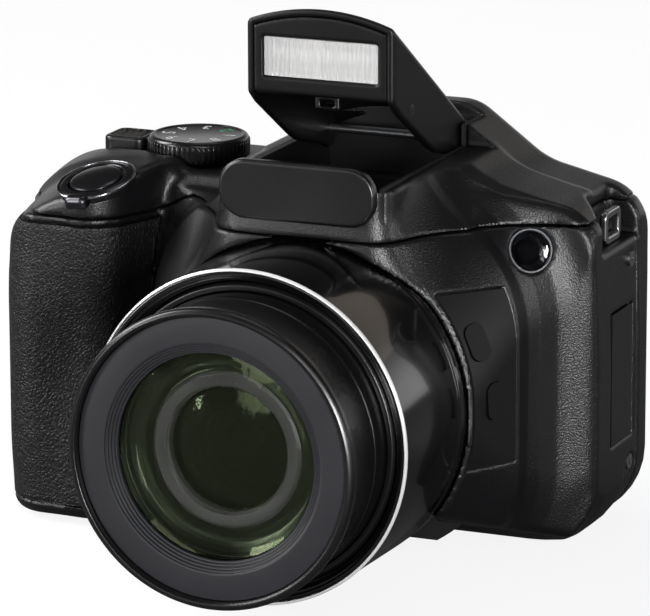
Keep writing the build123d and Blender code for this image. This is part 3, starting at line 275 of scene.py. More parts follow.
# Moulded grey cup of the focus lamp: pale enough to show through the smoked glass
LAMP_CUP = Finish("grey_lamp_housing", "77777c", 0.3, Surface.MOULDED, grain_mm=0.4,
                  relief_mm=0.004)
# Polished cover glass, black behind: one sharp reflection over the whole screen
SCREEN = Finish("dark_cover_glass", "08090a", 0.06, Surface.SMOOTH, relief_mm=0.0, coat=1.0)
# Liquid-crystal panel with its lamp off: near-black with a dim sheen
LCD = Finish("liquid_crystal_panel", "0a0b0d", 0.3, Surface.MOULDED, grain_mm=0.3, relief_mm=0.002)
# Screen-printed solder mask on the main board: satin green
BOARD = Finish("solder_masked_board", "10402a", 0.4, Surface.MOULDED, grain_mm=0.8, relief_mm=0.02)
# Shrink-wrapped film round the battery: dull dark grey
CELL = Finish("shrink_wrapped_cell", "3a3b3e", 0.45, Surface.MOULDED, grain_mm=0.6, relief_mm=0.01)
# Moulded shell of the memory card: plain satin blue
CARD = Finish("moulded_card", "1c2f55", 0.4, Surface.MOULDED, grain_mm=0.4, relief_mm=0.01)
# Spun bright aluminium behind the flash tube: a warm mirror
REFLECTOR = Finish("bright_reflector", "f0efe8", 0.16, Surface.SPUN, metallic=1.0, grain_mm=0.8,
                   relief_mm=0.01)
# Blasted and painted plate over the lens: satin black, its highlight a soft patch
PLATE = Finish("satin_black_plate", "09090a", 0.3, Surface.MOULDED, grain_mm=0.3, relief_mm=0.02)
# Polycarbonate from a polished tool on the flash: smoother than the case, with dim reflections
CAP_GLOSS = Finish("polished_flash_shell", "070708", 0.34, Surface.MOULDED, grain_mm=0.4,
                   relief_mm=0.01, specular=0.28)
# Coated cone behind the front lens: an olive metal that catches one soft highlight
COATED_CONE = Finish("coated_inner_cone", "30362a", 0.3, Surface.SMOOTH, relief_mm=0.0,
                     metallic=0.8)
# Satin turned ring that holds the second lens: a pale line in the dark throat
RETAINER = Finish("satin_retaining_ring", "4a484d", 0.38, Surface.SPUN, grain_mm=0.3,
                  relief_mm=0.004)
# Front lens with an olive anti-reflection coat: clear, its reflections tinted green
GLASS_FRONT = Finish("olive_coated_glass", "eef2ea", 0.02, Surface.SMOOTH, relief_mm=0.0,
                     transmission=1.0, ior=1.5, mottle=0.0, tint="c2cfa2")
# Second lens with an amber coat: its colour darkened to paint the shade of the deep lens behind it
GLASS_SECOND = Finish("amber_coated_glass_painted_shade", "6c6f66", 0.05, Surface.SMOOTH, relief_mm=0.0,
                      transmission=1.0, ior=1.7, mottle=0.0, tint="a9b592")
# Moulded prismatic acrylic of the flash window: milky where it scatters
FLASH_GLASS = Finish("prismatic_acrylic", "ffffff", 0.1, Surface.SMOOTH, relief_mm=0.0,
                     transmission=0.7, ior=1.49, mottle=0.0)
# Pad-printed ink of the dial's figures: flat colour with no shine
MARK_WHITE = Finish("pad_printed_white", "d8d8d4", 0.5, Surface.SMOOTH, relief_mm=0.0)
MARK_GREEN = Finish("pad_printed_green", "2f9d6a", 0.5, Surface.SMOOTH, relief_mm=0.0)


def linked(name: str, data: bpy.types.ID) -> bpy.types.Object:
    """Make an object of some data and put it in the scene.

    Args:
        name: the object's name.
        data: its mesh, curve, lamp or camera.

    Returns:
        The new object.
    """
    made = bpy.data.objects.new(name, data)
    bpy.context.scene.collection.objects.link(made)
    return made


def report(*pieces: bpy.types.Object) -> None:
    """Log the name of each finished piece and its count of faces."""
    for piece in pieces:
        log.info("%s: %d faces", piece.name, len(piece.data.polygons))


def new_object(name: str, points: np.ndarray, faces: Iterable[Sequence[int]],
               finish: Finish, smooth_angle: float = 40.0) -> bpy.types.Object:
    """Make a mesh object at the origin from points in millimetres.

    Args:
        name: the object's name.
        points: an array of x, y, z rows in millimetres.
        faces: corner numbers of each face.
        finish: the finish to give it.
        smooth_angle: edges sharper than this many degrees stay sharp.

    Returns:
        The new object.
    """
    mesh = bpy.data.meshes.new(name)
    mesh.from_pydata((np.asarray(points) * MM).tolist(), [], [list(f) for f in faces])
    mesh.update()
    piece = linked(name, mesh)
    mesh.materials.append(finish.material())
    soften(piece, smooth_angle)
    return piece


def soften(piece: bpy.types.Object, angle: float) -> None:
    """Shade a piece smooth, apart from its sharp edges.

    Args:
        piece: the object to shade.
        angle: edges sharper than this many degrees stay sharp.
    """
    mesh = piece.data
    mesh.polygons.foreach_set("use_smooth", [True] * len(mesh.polygons))
    mesh.set_sharp_from_angle(angle=math.radians(angle))


def applied(piece: bpy.types.Object) -> bpy.types.Object:
    """Turn a piece's modifiers into plain mesh and remove them.

    Args:
        piece: the object whose modifiers are applied.

    Returns:
        The same object.
    """
    graph = bpy.context.evaluated_depsgraph_get()
    mesh = bpy.data.meshes.new_from_object(piece.evaluated_get(graph))
    piece.modifiers.clear()
    piece.data = mesh
    return piece


@dataclass
class Grid:
    """A block of sample points that holds a field of signed distances."""

    low: tuple[float, float, float]
    high: tuple[float, float, float]
    step: float

    def __post_init__(self) -> None:
        """Lay out the sample places along each axis."""
        axes = [np.arange(a - self.step, b + 1.5 * self.step, self.step)
                for a, b in zip(self.low, self.high)]
        self.x = axes[0][:, None, None].astype(np.float32)
        self.y = axes[1][None, :, None].astype(np.float32)
        self.z = axes[2][None, None, :].astype(np.float32)
        self.shape = tuple(len(a) for a in axes)
        self.start = np.array([a[0] for a in axes])

    def block(self, spots: Sequence[slice]) -> "Grid":
        """Take a block of this grid, with the same sample places.

        Args:
            spots: the range of samples along each axis.

        Returns:
            The smaller grid.
        """
        part = Grid(self.low, self.high, self.step)
        part.x, part.y, part.z = self.x[spots[0]], self.y[:, spots[1]], self.z[:, :, spots[2]]
        part.shape = tuple(spot.stop - spot.start for spot in spots)
        part.start = self.start + np.array([spot.start for spot in spots]) * self.step
        return part

    def skin(self, field_values: np.ndarray) -> tuple[np.ndarray, np.ndarray]:
        """Draw the surface where a field is zero, one point in each crossed cell.

        Args:
            field_values: distances on this grid, negative inside.

        Returns:
            Points in millimetres and the quads between them.
        """
        values = np.broadcast_to(field_values, self.shape).astype(np.float32)
        inside = values < 0
        cells = tuple(n - 1 for n in self.shape)
        corners = [(i, j, k) for i in (0, 1) for j in (0, 1) for k in (0, 1)]
        total = np.zeros(cells, np.int8)
        for i, j, k in corners:
            total += inside[i:i + cells[0], j:j + cells[1], k:k + cells[2]]
        crossed = np.argwhere((total > 0) & (total < 8))
        number = np.full(cells, -1, np.int64)
        number[tuple(crossed.T)] = np.arange(len(crossed))
        at = {c: values[tuple((crossed + c).T)] for c in corners}
        place = np.zeros((len(crossed), 3))
        count = np.zeros(len(crossed))
        for a in corners:
            for axis in range(3):
                if a[axis]:
                    continue
                b = tuple(1 if n == axis else a[n] for n in range(3))
                hit = (at[a] < 0) != (at[b] < 0)
                share = np.where(hit, at[a] / np.where(hit, at[a] - at[b], 1), 0)
                spot = np.array(a, float)[None, :].repeat(len(crossed), 0)
                spot[:, axis] += share
                place += np.where(hit[:, None], spot, 0)
                count += hit
        points = self.start + (crossed + place / count[:, None]) * self.step
        quads = []
        for axis in range(3):
            lead, side = (axis + 1) % 3, (axis + 2) % 3
            near = [slice(None)] * 3
            far = [slice(None)] * 3
            near[axis], far[axis] = slice(0, -1), slice(1, None)
            a, b = inside[tuple(near)], inside[tuple(far)]
            edges = np.argwhere(a != b)
            ok = (edges[:, lead] > 0) & (edges[:, side] > 0)
            ok &= (edges[:, lead] < cells[lead]) & (edges[:, side] < cells[side])
            edges = edges[ok]
            step_lead = np.zeros(3, int)
            step_side = np.zeros(3, int)
            step_lead[lead], step_side[side] = 1, 1
            ring = [edges - step_lead - step_side, edges - step_side, edges, edges - step_lead]
            quad = np.stack([number[tuple(r.T)] for r in ring], axis=1)
            out = a[tuple(edges.T)]
            quad[~out] = quad[~out][:, ::-1]
            quads.append(quad)
        return points, np.concatenate(quads)


def rounded_box(grid: Grid, low: Sequence[float], high: Sequence[float],
                rounding: float) -> np.ndarray:
    """Give the distance to a box with rounded edges.

    Args:
        grid: the places to measure at.
        low: the box's lowest x, y and z.
        high: its highest x, y and z.
        rounding: the radius of its edges.

    Returns:
        Distances on the grid, negative inside.
    """
    spans = [np.abs(axis - (a + b) / 2) - (b - a) / 2 + rounding
             for axis, a, b in zip((grid.x, grid.y, grid.z), low, high)]
    outer = np.sqrt(sum(np.maximum(s, 0) ** 2 for s in spans))
    return outer + np.minimum(np.maximum(np.maximum(spans[0], spans[1]), spans[2]), 0) - rounding


def outline_distance(across: np.ndarray, up: np.ndarray,
                     corners: Sequence[tuple[float, float, float]]) -> np.ndarray:
    """Give the signed distance to a closed outline with rounded corners.

    Args:
        across: sample places along the first direction.
        up: sample places along the second direction.
        corners: across, up and corner radius of each corner, in order.

    Returns:
        Distances, negative inside.
    """
    path = filleted(corners)
    best = np.full(np.broadcast_shapes(across.shape, up.shape), 1e9, np.float32)
    inside = np.zeros(best.shape, bool)
    for (ax, ay), (bx, by) in zip(path, np.roll(path, -1, axis=0)):
        ex, ey = bx - ax, by - ay
        share = np.clip(((across - ax) * ex + (up - ay) * ey) / (ex * ex + ey * ey + 1e-9), 0, 1)
        gap = (across - ax - share * ex) ** 2 + (up - ay - share * ey) ** 2
        best = np.minimum(best, gap)
        if ay != by:
            passes = ((ay > up) != (by > up)) & (across < (bx - ax) * (up - ay) / (by - ay) + ax)
            inside ^= passes
    return np.sqrt(best) * np.where(inside, -1, 1)


def filleted(corners: Sequence[tuple[float, float, float]], turns: int = 8) -> np.ndarray:
    """Round the corners of a closed outline.

    Args:
        corners: across, up and radius of each corner, in order.
        turns: points in each rounded corner, less one.

    Returns:
        The outline's points.
    """
    points = []
    for index, (x, y, radius) in enumerate(corners):
        here = np.array([x, y])
        before = np.array(corners[index - 1][:2]) - here
        after = np.array(corners[(index + 1) % len(corners)][:2]) - here
        before, after = before / np.linalg.norm(before), after / np.linalg.norm(after)
        half = math.acos(max(-1, min(1, float(before @ after)))) / 2
        if radius <= 0 or half > math.pi / 2 - 1e-4:
            points.append(here)
            continue
        start = here + before * radius / math.tan(half)
        end = here + after * radius / math.tan(half)
        centre = here + (before + after) / np.linalg.norm(before + after) * radius / math.sin(half)
        first, last = start - centre, end - centre
        sweep = math.acos(max(-1, min(1, float(first @ last) / radius ** 2)))
        for n in range(turns + 1):
            t = n / turns
            mixed = (math.sin((1 - t) * sweep) * first + math.sin(t * sweep) * last)
            points.append(centre + mixed / math.sin(sweep))
    return np.array(points)


def ramp(value: np.ndarray, start: float, end: float) -> np.ndarray:
    """Rise smoothly from 0 at one value to 1 at another."""
    share = np.clip((value - start) / (end - start), 0, 1)
    return share * share * (3 - 2 * share)


def rounded_meet(a: np.ndarray, b: np.ndarray, radius: float) -> np.ndarray:
    """Keep what two forms share, with the edge between them rounded to a radius."""
    over = np.hypot(np.maximum(a + radius, 0), np.maximum(b + radius, 0))
    return np.minimum(np.maximum(a, b), -radius) + over


def rounded_join(a: np.ndarray, b: np.ndarray, radius: float) -> np.ndarray:
    """Join two forms, with a fillet of this radius where they meet."""
    return -rounded_meet(-a, -b, radius)


def without(a: np.ndarray, b: np.ndarray, radius: float) -> np.ndarray:
    """Cut form b out of form a, with the cut's edge rounded to a radius."""
    return rounded_meet(a, -b, radius)


def rounded_square(across: np.ndarray, up: np.ndarray, half: np.ndarray | float,
                   rounding: np.ndarray | float, half_up: np.ndarray | float | None = None
                   ) -> np.ndarray:
    """Give the distance to a rounded rectangle about zero.

    Args:
        across: sample places along the first direction.
        up: sample places along the second direction.
        half: half its width.
        rounding: its corner radius.
        half_up: half its height, where that differs.

    Returns:
        Distances, negative inside.
    """
    a = np.abs(across) - half + rounding
    b = np.abs(up) - (half if half_up is None else half_up) + rounding
    outer = np.hypot(np.maximum(a, 0), np.maximum(b, 0))
    return outer + np.minimum(np.maximum(a, b), 0) - rounding


def thin_out(piece: bpy.types.Object, most: int) -> None:
    """Bring a dense mesh down to a number of triangles.

    Args:
        piece: the object to thin.
        most: the most triangles to keep.
    """
    mesh = piece.data
    triangles = sum(len(p.vertices) - 2 for p in mesh.polygons)
    if triangles <= most:
        return
    thin = piece.modifiers.new("thin", "DECIMATE")
    thin.ratio = most / triangles
    applied(piece)


def dressed(name: str, grid: Grid, form: np.ndarray, finish: Finish, most: int = 150000,
            angle: float = 40.0) -> bpy.types.Object:
    """Make a piece from a distance field.

    Args:
        name: the piece's name.
        grid: where the field was sampled.
        form: the field.
        finish: the piece's finish.
        most: the most triangles to keep.
        angle: edges sharper than this many degrees stay sharp.

    Returns:
        The new object.
    """
    points, quads = grid.skin(form)
    piece = new_object(name, points, quads, finish, angle)
    thin_out(piece, most)
    soften(piece, angle)
    return piece


def spun(name: str, profile: Sequence[tuple[float, float]], centre: Sequence[float],
         axis: Sequence[float], finish: Finish, turns: int = 192,
         angle: float = 35.0) -> bpy.types.Object:
    """Spin a closed profile about an axis.

    Args:
        name: the piece's name.
        profile: along the axis and radius of each point, the outline closed.
        centre: a point on the axis, in millimetres.
        axis: the axis direction.
        finish: the piece's finish.
        turns: points round the axis.
        angle: edges sharper than this many degrees stay sharp.

    Returns:
        The new object.
    """
    lead = Vector(axis).normalized()
    side = lead.orthogonal().normalized()
    up = lead.cross(side)
    frame_axes = np.array([side, up, lead])
    steps = np.arange(turns) * 2 * math.pi / turns
    rows = np.array(profile, float)
    ring = np.stack([np.cos(steps), np.sin(steps)], axis=1)
    local = np.zeros((len(rows), turns, 3))
    local[:, :, :2] = rows[:, None, 1:2] * ring[None]
    local[:, :, 2] = rows[:, None, 0]
    points = local.reshape(-1, 3) @ frame_axes + np.array(centre, float)
    count = len(rows)
    faces = []
    for i in range(count):
        j = (i + 1) % count
        if rows[i][1] < 1e-6 and rows[j][1] < 1e-6:
            continue
        for k in range(turns):
            m = (k + 1) % turns
            faces.append((i * turns + k, i * turns + m, j * turns + m, j * turns + k))
    piece = new_object(name, points, faces, finish, angle)
    mend(piece)
    soften(piece, angle)
    return piece


def mend(piece: bpy.types.Object) -> None:
    """Merge a mesh's doubles and turn its faces outwards.

    Args:
        piece: the object to mend.
    """
    shape = bmesh.new()
    shape.from_mesh(piece.data)
    bmesh.ops.remove_doubles(shape, verts=shape.verts, dist=1e-7)
    bmesh.ops.dissolve_degenerate(shape, dist=1e-8, edges=shape.edges)
    bmesh.ops.recalc_face_normals(shape, faces=shape.faces)
    shape.to_mesh(piece.data)
    shape.free()


def bevelled(profile: Sequence[tuple[float, float]], bevel: float) -> list[tuple[float, float]]:
    """Round each corner of a spun profile a little.

    Args:
        profile: along the axis and radius of each point.
        bevel: the rounding in millimetres, less where an edge is short.

    Returns:
        The profile with three points at each corner that isn't on the axis.
    """
    rows = [np.array(p, float) for p in profile]
    done = []
    for index, here in enumerate(rows):
        before, after = rows[index - 1], rows[(index + 1) % len(rows)]
        if here[1] < 1e-6:
            done.append(tuple(here))
            continue
        back, on = before - here, after - here
        reach = min(bevel, np.linalg.norm(back) * 0.45, np.linalg.norm(on) * 0.45)
        start = here + back / np.linalg.norm(back) * reach
        end = here + on / np.linalg.norm(on) * reach
        middle = (start + end) / 4 + here / 2
        done += [tuple(start), tuple(middle), tuple(end)]
    return done


def joined(name: str, pieces: Sequence[bpy.types.Object]) -> bpy.types.Object:
    """Join pieces into one mesh that keeps each one's finish.

    Args:
        name: the name of the result.
        pieces: the objects to join, which are removed.

    Returns:
        The joined object.
    """
    shape = bmesh.new()
    finishes = []
    for piece in pieces:
        for slot in piece.data.materials:
            if slot not in finishes:
                finishes.append(slot)
    for piece in pieces:
        start = len(shape.faces)
        shape.from_mesh(piece.data)
        shape.faces.ensure_lookup_table()
        own = [finishes.index(slot) for slot in piece.data.materials]
        for face in shape.faces[start:]:
            face.material_index = own[min(face.material_index, len(own) - 1)]
    mesh = bpy.data.meshes.new(name)
    shape.to_mesh(mesh)
    shape.free()
    for slot in finishes:
        mesh.materials.append(slot)
    for piece in pieces:
        bpy.data.objects.remove(piece)
    return linked(name, mesh)


def placed(piece: bpy.types.Object, place: Matrix) -> bpy.types.Object:
    """Put a place into a piece's mesh.

    Args:
        piece: the object to place.
        place: its place and turn, in metres.

    Returns:
        The same object.
    """
    piece.data.transform(place)
    piece.data.update()
    return piece


@dataclass
class Ribs:
    """Raised ribs that repeat round a ring, by Geometry Nodes."""

    name: str
    count: int
    size: tuple[float, float, float]
    radius: float
    finish: Finish
    crease: float = 0.72
    sharp_angle: float = 50.0

    def tree(self) -> bpy.types.NodeTree:
        """Build the node tree, with the count, radius and size as named inputs.

        Returns:
            The node tree.
        """
        tree = bpy.data.node_groups.new(self.name, "GeometryNodeTree")
        tree.interface.new_socket("Geometry", in_out="OUTPUT", socket_type="NodeSocketGeometry")
        for label, kind in (("Count", "NodeSocketInt"), ("Radius", "NodeSocketFloat"),
                            ("Size", "NodeSocketVector")):
            tree.interface.new_socket(label, in_out="INPUT", socket_type=kind)
        given = add_node(tree, "NodeGroupInput").outputs
        cube = add_node(tree, "GeometryNodeMeshCube", {}, {"Size": given["Size"]})
        finer = add_node(tree, "GeometryNodeSubdivisionSurface",
                         {"Level": 2, "Edge Crease": self.crease}, {"Mesh": cube.outputs["Mesh"]})
        circle = add_node(tree, "GeometryNodeMeshCircle", {},
                          {"Vertices": given["Count"], "Radius": given["Radius"]})
        place = add_node(tree, "GeometryNodeInputPosition").outputs["Position"]
        turn = add_node(tree, "FunctionNodeAlignRotationToVector", {"axis": "X"},
                        {"Vector": place})
        copies = add_node(tree, "GeometryNodeInstanceOnPoints", {}, {
            "Points": circle.outputs["Mesh"], "Instance": finer.outputs["Mesh"],
            "Rotation": turn.outputs["Rotation"]})
        real = add_node(tree, "GeometryNodeRealizeInstances", {},
                        {"Geometry": copies.outputs["Instances"]})
        coat = add_node(tree, "GeometryNodeSetMaterial", {"Material": self.finish.material()},
                        {"Geometry": real.outputs["Geometry"]})
        add_node(tree, "NodeGroupOutput", {}, {"Geometry": coat.outputs["Geometry"]})
        return tree

    def build(self, place: Matrix) -> bpy.types.Object:
        """Make the ribs as one plain mesh.

        Args:
            place: where the ring's centre goes, in metres.

        Returns:
            The new object.
        """
        piece = linked(self.name, bpy.data.meshes.new(self.name))
        maker = piece.modifiers.new("ribs", "NODES")
        maker.node_group = self.tree()
        values = {"Count": self.count, "Radius": self.radius * MM,
                  "Size": tuple(s * MM for s in self.size)}
        for socket in maker.node_group.interface.items_tree:
            if socket.in_out == "INPUT":
                maker[socket.identifier] = values[socket.name]
        applied(piece)
        placed(piece, place)
        mend(piece)
        soften(piece, self.sharp_angle)
        return piece


@dataclass
class Envelope:
    """The whole case as one form: body block, grip, lens collar and the nose over the lens."""

    body_left: float = 70.0
    body_right: float = 49.0
    back: float = 20.5
    face: float = -14.0
    top_plate: float = 68.5
    lens_z: float = 32.5
    wall: float = 2.0
    rail: float = 75.2
    rail_back: float = 1.55
    rail_rounding: float = 0.9
    bay_half: float = 16.4
    nose_half: float = 18.0
    nose_middle: float = -10.6
    nose_reach: float = 30.6
    grip_top: float = 71.0
    grip_outline: tuple[tuple[float, float, float], ...] = (
        (-70, 8, 0), (-70, -31, 9), (-46, -31, 9), (-37.4, -9.5, 5), (-33, 8, 0))
    collar_ahead: tuple[float, ...] = (11, 14, 16.5, 19, 22, 24.6, 25, 26, 38)
    collar_half: tuple[float, ...] = (51, 46, 42.2, 39.8, 38.4, 38.02, 38.0, 37.6, 33.0)
    collar_rounding: tuple[float, ...] = (30, 30, 27.6, 26.3, 25.9, 25.9, 26, 26.4, 32.9)
    crest_across: tuple[float, ...] = (15, 19, 22, 25, 28, 32, 36, 42, 49)
    crest_height: tuple[float, ...] = (75.2, 74.6, 73.6, 72.6, 71.7, 70.4, 69.2, 67.9, 66.2)
    low: tuple[float, float, float] = (-70.0, -43.4, 0.0)
    high: tuple[float, float, float] = (49.0, 20.5, 81.8)
    step: float = 0.5
    lid_seam: float = 65.0
    split_y: float = 10.0
    skin: float = 0.8
    skin_low: float = 3.5
    skin_high: float = 60.0
    cap_point: tuple[float, float, float] = (-49.4, -25.9, 68.0)
    cap_lean: tuple[float, float] = (0.108, 0.288)
    lamp: tuple[float, float] = (36.8, 60.4)

    def __post_init__(self) -> None:
        """Lay out the grid and work out the form."""
        self.grid = Grid(self.low, self.high, self.step)
        self.outer = self.form()

    @property
    def cap_normal(self) -> Vector:
        """The direction in which the grip's cap faces."""
        return Vector((-self.cap_lean[0], -self.cap_lean[1], 1)).normalized()

    def cap(self) -> np.ndarray:
        """Give the height above the sloping cap of the grip."""
        g, (px, py, pz), n = self.grid, self.cap_point, self.cap_normal
        return (g.x - px) * n.x + (g.y - py) * n.y + (g.z - pz) * n.z

    def grip_plan(self) -> np.ndarray:
        """Give the distance to the grip's outline, seen from above."""
        return outline_distance(self.grid.x, self.grid.y, self.grip_outline)

    def collar(self) -> np.ndarray:
        """Give the distance to the flared collar round the lens.

        Returns:
            Distances on the grid, negative inside.
        """
        g = self.grid
        half = np.interp(-g.y, self.collar_ahead, self.collar_half)
        rounding = np.interp(-g.y, self.collar_ahead, self.collar_rounding)
        section = rounded_square(g.x, g.z - self.lens_z, half, rounding)
        limits = rounded_meet((4.0 - 0.35 * (g.y + 14) - g.z) / 1.06, -g.y - 38, 1.5)
        # The crest rises in one slope to the nose, and falls faster on the grip's side
        top = np.interp(np.abs(g.x), self.crest_across, self.crest_height)
        steeper = self.crest_height[0] - 1.1 * np.maximum(-g.x - 17, 0)
        top = np.where(g.x < 0, np.minimum(top, steeper), top)
        limits = rounded_meet(limits, (g.z - np.maximum(top, self.crest_height[-1])) / 1.05, 1.2)
        limits = np.maximum(limits, np.maximum(-self.body_left - g.x, g.x - self.body_right))
        return rounded_meet(rounded_meet(section, limits, 1.6), g.y - 2, 0.5)

    def form(self) -> np.ndarray:
        """Give the distance to the outside of the case.

        Returns:
            The field of the outer form.
        """
        g = self.grid
        front_view = outline_distance(g.x, g.z, [
            (-self.body_left, 0, 7.5), (self.body_right, 0, 15), (self.body_right, 66.3, 10),
            (28, 71.2, 16), (13.6, 81.7, 9), (-13.6, 81.7, 9), (-24, self.top_plate, 5),
            (-self.body_left, self.top_plate, 7)])
        # The block's front edge is rounder low down and crisper at the shoulder
        chin = 4.2 + 5.8 * ramp(g.z, 18, 5) - 2.4 * ramp(g.z, 50, 62)
        body = rounded_meet(front_view, g.y - self.back, 6.5)
        body = rounded_meet(body, self.face - g.y, chin)
        ledge = rounded_meet(g.z - self.rail, self.face - g.y, 1.0)
        body = np.maximum(body, np.minimum(ledge, self.rail_back - g.y))
        # The grip: a sloping cap that falls off outwards, and a swell for the fingers
        fall = (g.z - 61.3 - 0.9 * (g.x + 66) - 0.228 * (g.y + 26.1)) / 1.36
        cap = rounded_meet(self.cap(), g.z - self.grip_top, 2.5)
        cap = rounded_meet(cap, fall, 7.0)
        heel = (g.y + 7.5) * 0.42 + (g.z - self.grip_top) * 0.9
        cap = rounded_meet(cap, heel, 1.5)
        left_lean = 0.8 * ramp(g.z, 42, 60) + 0.6 * ramp(g.z, 18, 2)
        grip = rounded_meet(self.grip_plan() + left_lean * ramp(-g.x, 48, 60), cap, 2.0)
        grip = rounded_meet(grip, -g.z, 4.0)
        swell = np.exp(-((g.z - 34) / 17) ** 2) * np.exp(-((g.x + 51) / 9) ** 2)
        grip = grip + 2.6 * swell * ramp(g.y, -12, -24)
        # The nose over the lens and the collar's flanks, both cut off at the flash rail
        nose = rounded_square(g.x, g.y - self.nose_middle, self.nose_half, 5.0, self.nose_reach)
        nose = rounded_meet(nose, g.z - self.rail, self.rail_rounding)
        nose = np.maximum(nose, 56 - g.z)
        flank = rounded_join(self.collar(), nose, 9.0)
        flank = rounded_meet(np.maximum(flank, front_view), g.z - self.rail, self.rail_rounding)
        whole = rounded_join(rounded_join(body, grip, 3.0), flank, 2.0)
        whole = np.maximum(whole, np.minimum(g.z - self.rail, self.rail_back - g.y))
        whole = rounded_meet(whole, fall - 0.5, 4.0)
        # The outer limits of the block, and the fall under the thumb
        block = np.maximum(left_lean - self.body_left - g.x,
                           g.x - self.body_right + 0.6 * ramp(g.z, 35, 62))
        whole = np.maximum(whole, np.maximum(block, -g.z))
        thumb_fall = (g.z - 65 - 0.5 * (g.x + 70) + 0.5 * (g.y - 4)) / 1.22
        whole = rounded_meet(whole, thumb_fall, 5.0)
        whole = rounded_meet(whole, -g.z, 1.6)
        return whole.astype(np.float32)

    def lug_pocket(self, across: np.ndarray, wall: float) -> np.ndarray:
        """Give the distance to the notch that a strap lug stands in.

        Args:
            across: places across the body, mirrored for the left side.
            wall: how much larger to make it, for the walls round the notch.

        Returns:
            Distances on the grid.
        """
        g = self.grid
        box = np.maximum(np.abs(g.y - 1.5) - 10.0, 58.6 - g.z)
        box = rounded_meet(box, 42.0 - across, 1.0)
        slant = -0.77 * (across - 41.6) - 0.64 * (g.y + 1.2)
        return rounded_meet(box, slant, 1.0) - wall

    @cached_property
    def lamp_axis(self) -> tuple[np.ndarray, np.ndarray]:
        """Find where the focus lamp meets the outside of the case, and the way it faces there.

        Returns:
            The place in millimetres, and the direction.
        """
        x, z = self.lamp
        i, k = (int(round((v - start) / self.step))
                for v, start in zip((x, z), (self.grid.start[0], self.grid.start[2])))
        j, reach = int(np.argmax(self.outer[i, :, k] < 0)), 6
        slope = np.array([
            self.outer[i + reach, j, k] - self.outer[i - reach, j, k],
            self.outer[i, j + reach, k] - self.outer[i, j - reach, k],
            self.outer[i, j, k + reach] - self.outer[i, j, k - reach]])
        place = self.grid.start + np.array([i, j, k]) * self.step
        return place, slope / np.linalg.norm(slope)

    def about_lamp(self, grid: Grid) -> tuple[np.ndarray, np.ndarray]:
        """Measure from the focus lamp's axis.

        Args:
            grid: the places to measure at.

        Returns:
            The distance from the axis, and the height above the case.
        """
        place, way = self.lamp_axis
        dx, dy, dz = grid.x - place[0], grid.y - place[1], grid.z - place[2]
        height = dx * way[0] + dy * way[1] + dz * way[2]
        return np.sqrt(np.maximum(dx * dx + dy * dy + dz * dz - height * height, 0)), height

    def cylinder(self, centre: Sequence[float], radius: float, along: str,
                 low: float, high: float) -> np.ndarray:
        """Give the distance to a cylinder along one axis.

        Args:
            centre: its place across the two other axes, in x, y, z order.
            radius: its radius.
            along: the axis that it follows, x, y or z.
            low: where it starts on that axis.
            high: where it ends.

        Returns:
            Distances on the grid.
        """
        axes = {"x": self.grid.x, "y": self.grid.y, "z": self.grid.z}
        run = axes.pop(along)
        (a, b) = axes.values()
        round_part = np.hypot(a - centre[0], b - centre[1]) - radius
        return np.maximum(round_part, np.maximum(low - run, run - high))

    def tilted(self, radius: float, sink: float) -> np.ndarray:
        """Give the distance to a cylinder square to the cap, from a depth upward.

        Args:
            radius: its radius.
            sink: how far under the cap it starts.

        Returns:
            Distances on the grid, negative inside.
        """
        g, height = self.grid, self.cap()
        px, py, pz = self.cap_point
        away = (g.x - px) ** 2 + (g.y - py) ** 2 + (g.z - pz) ** 2 - height ** 2
        return np.maximum(np.sqrt(np.maximum(away, 0)) - radius, -sink - height)


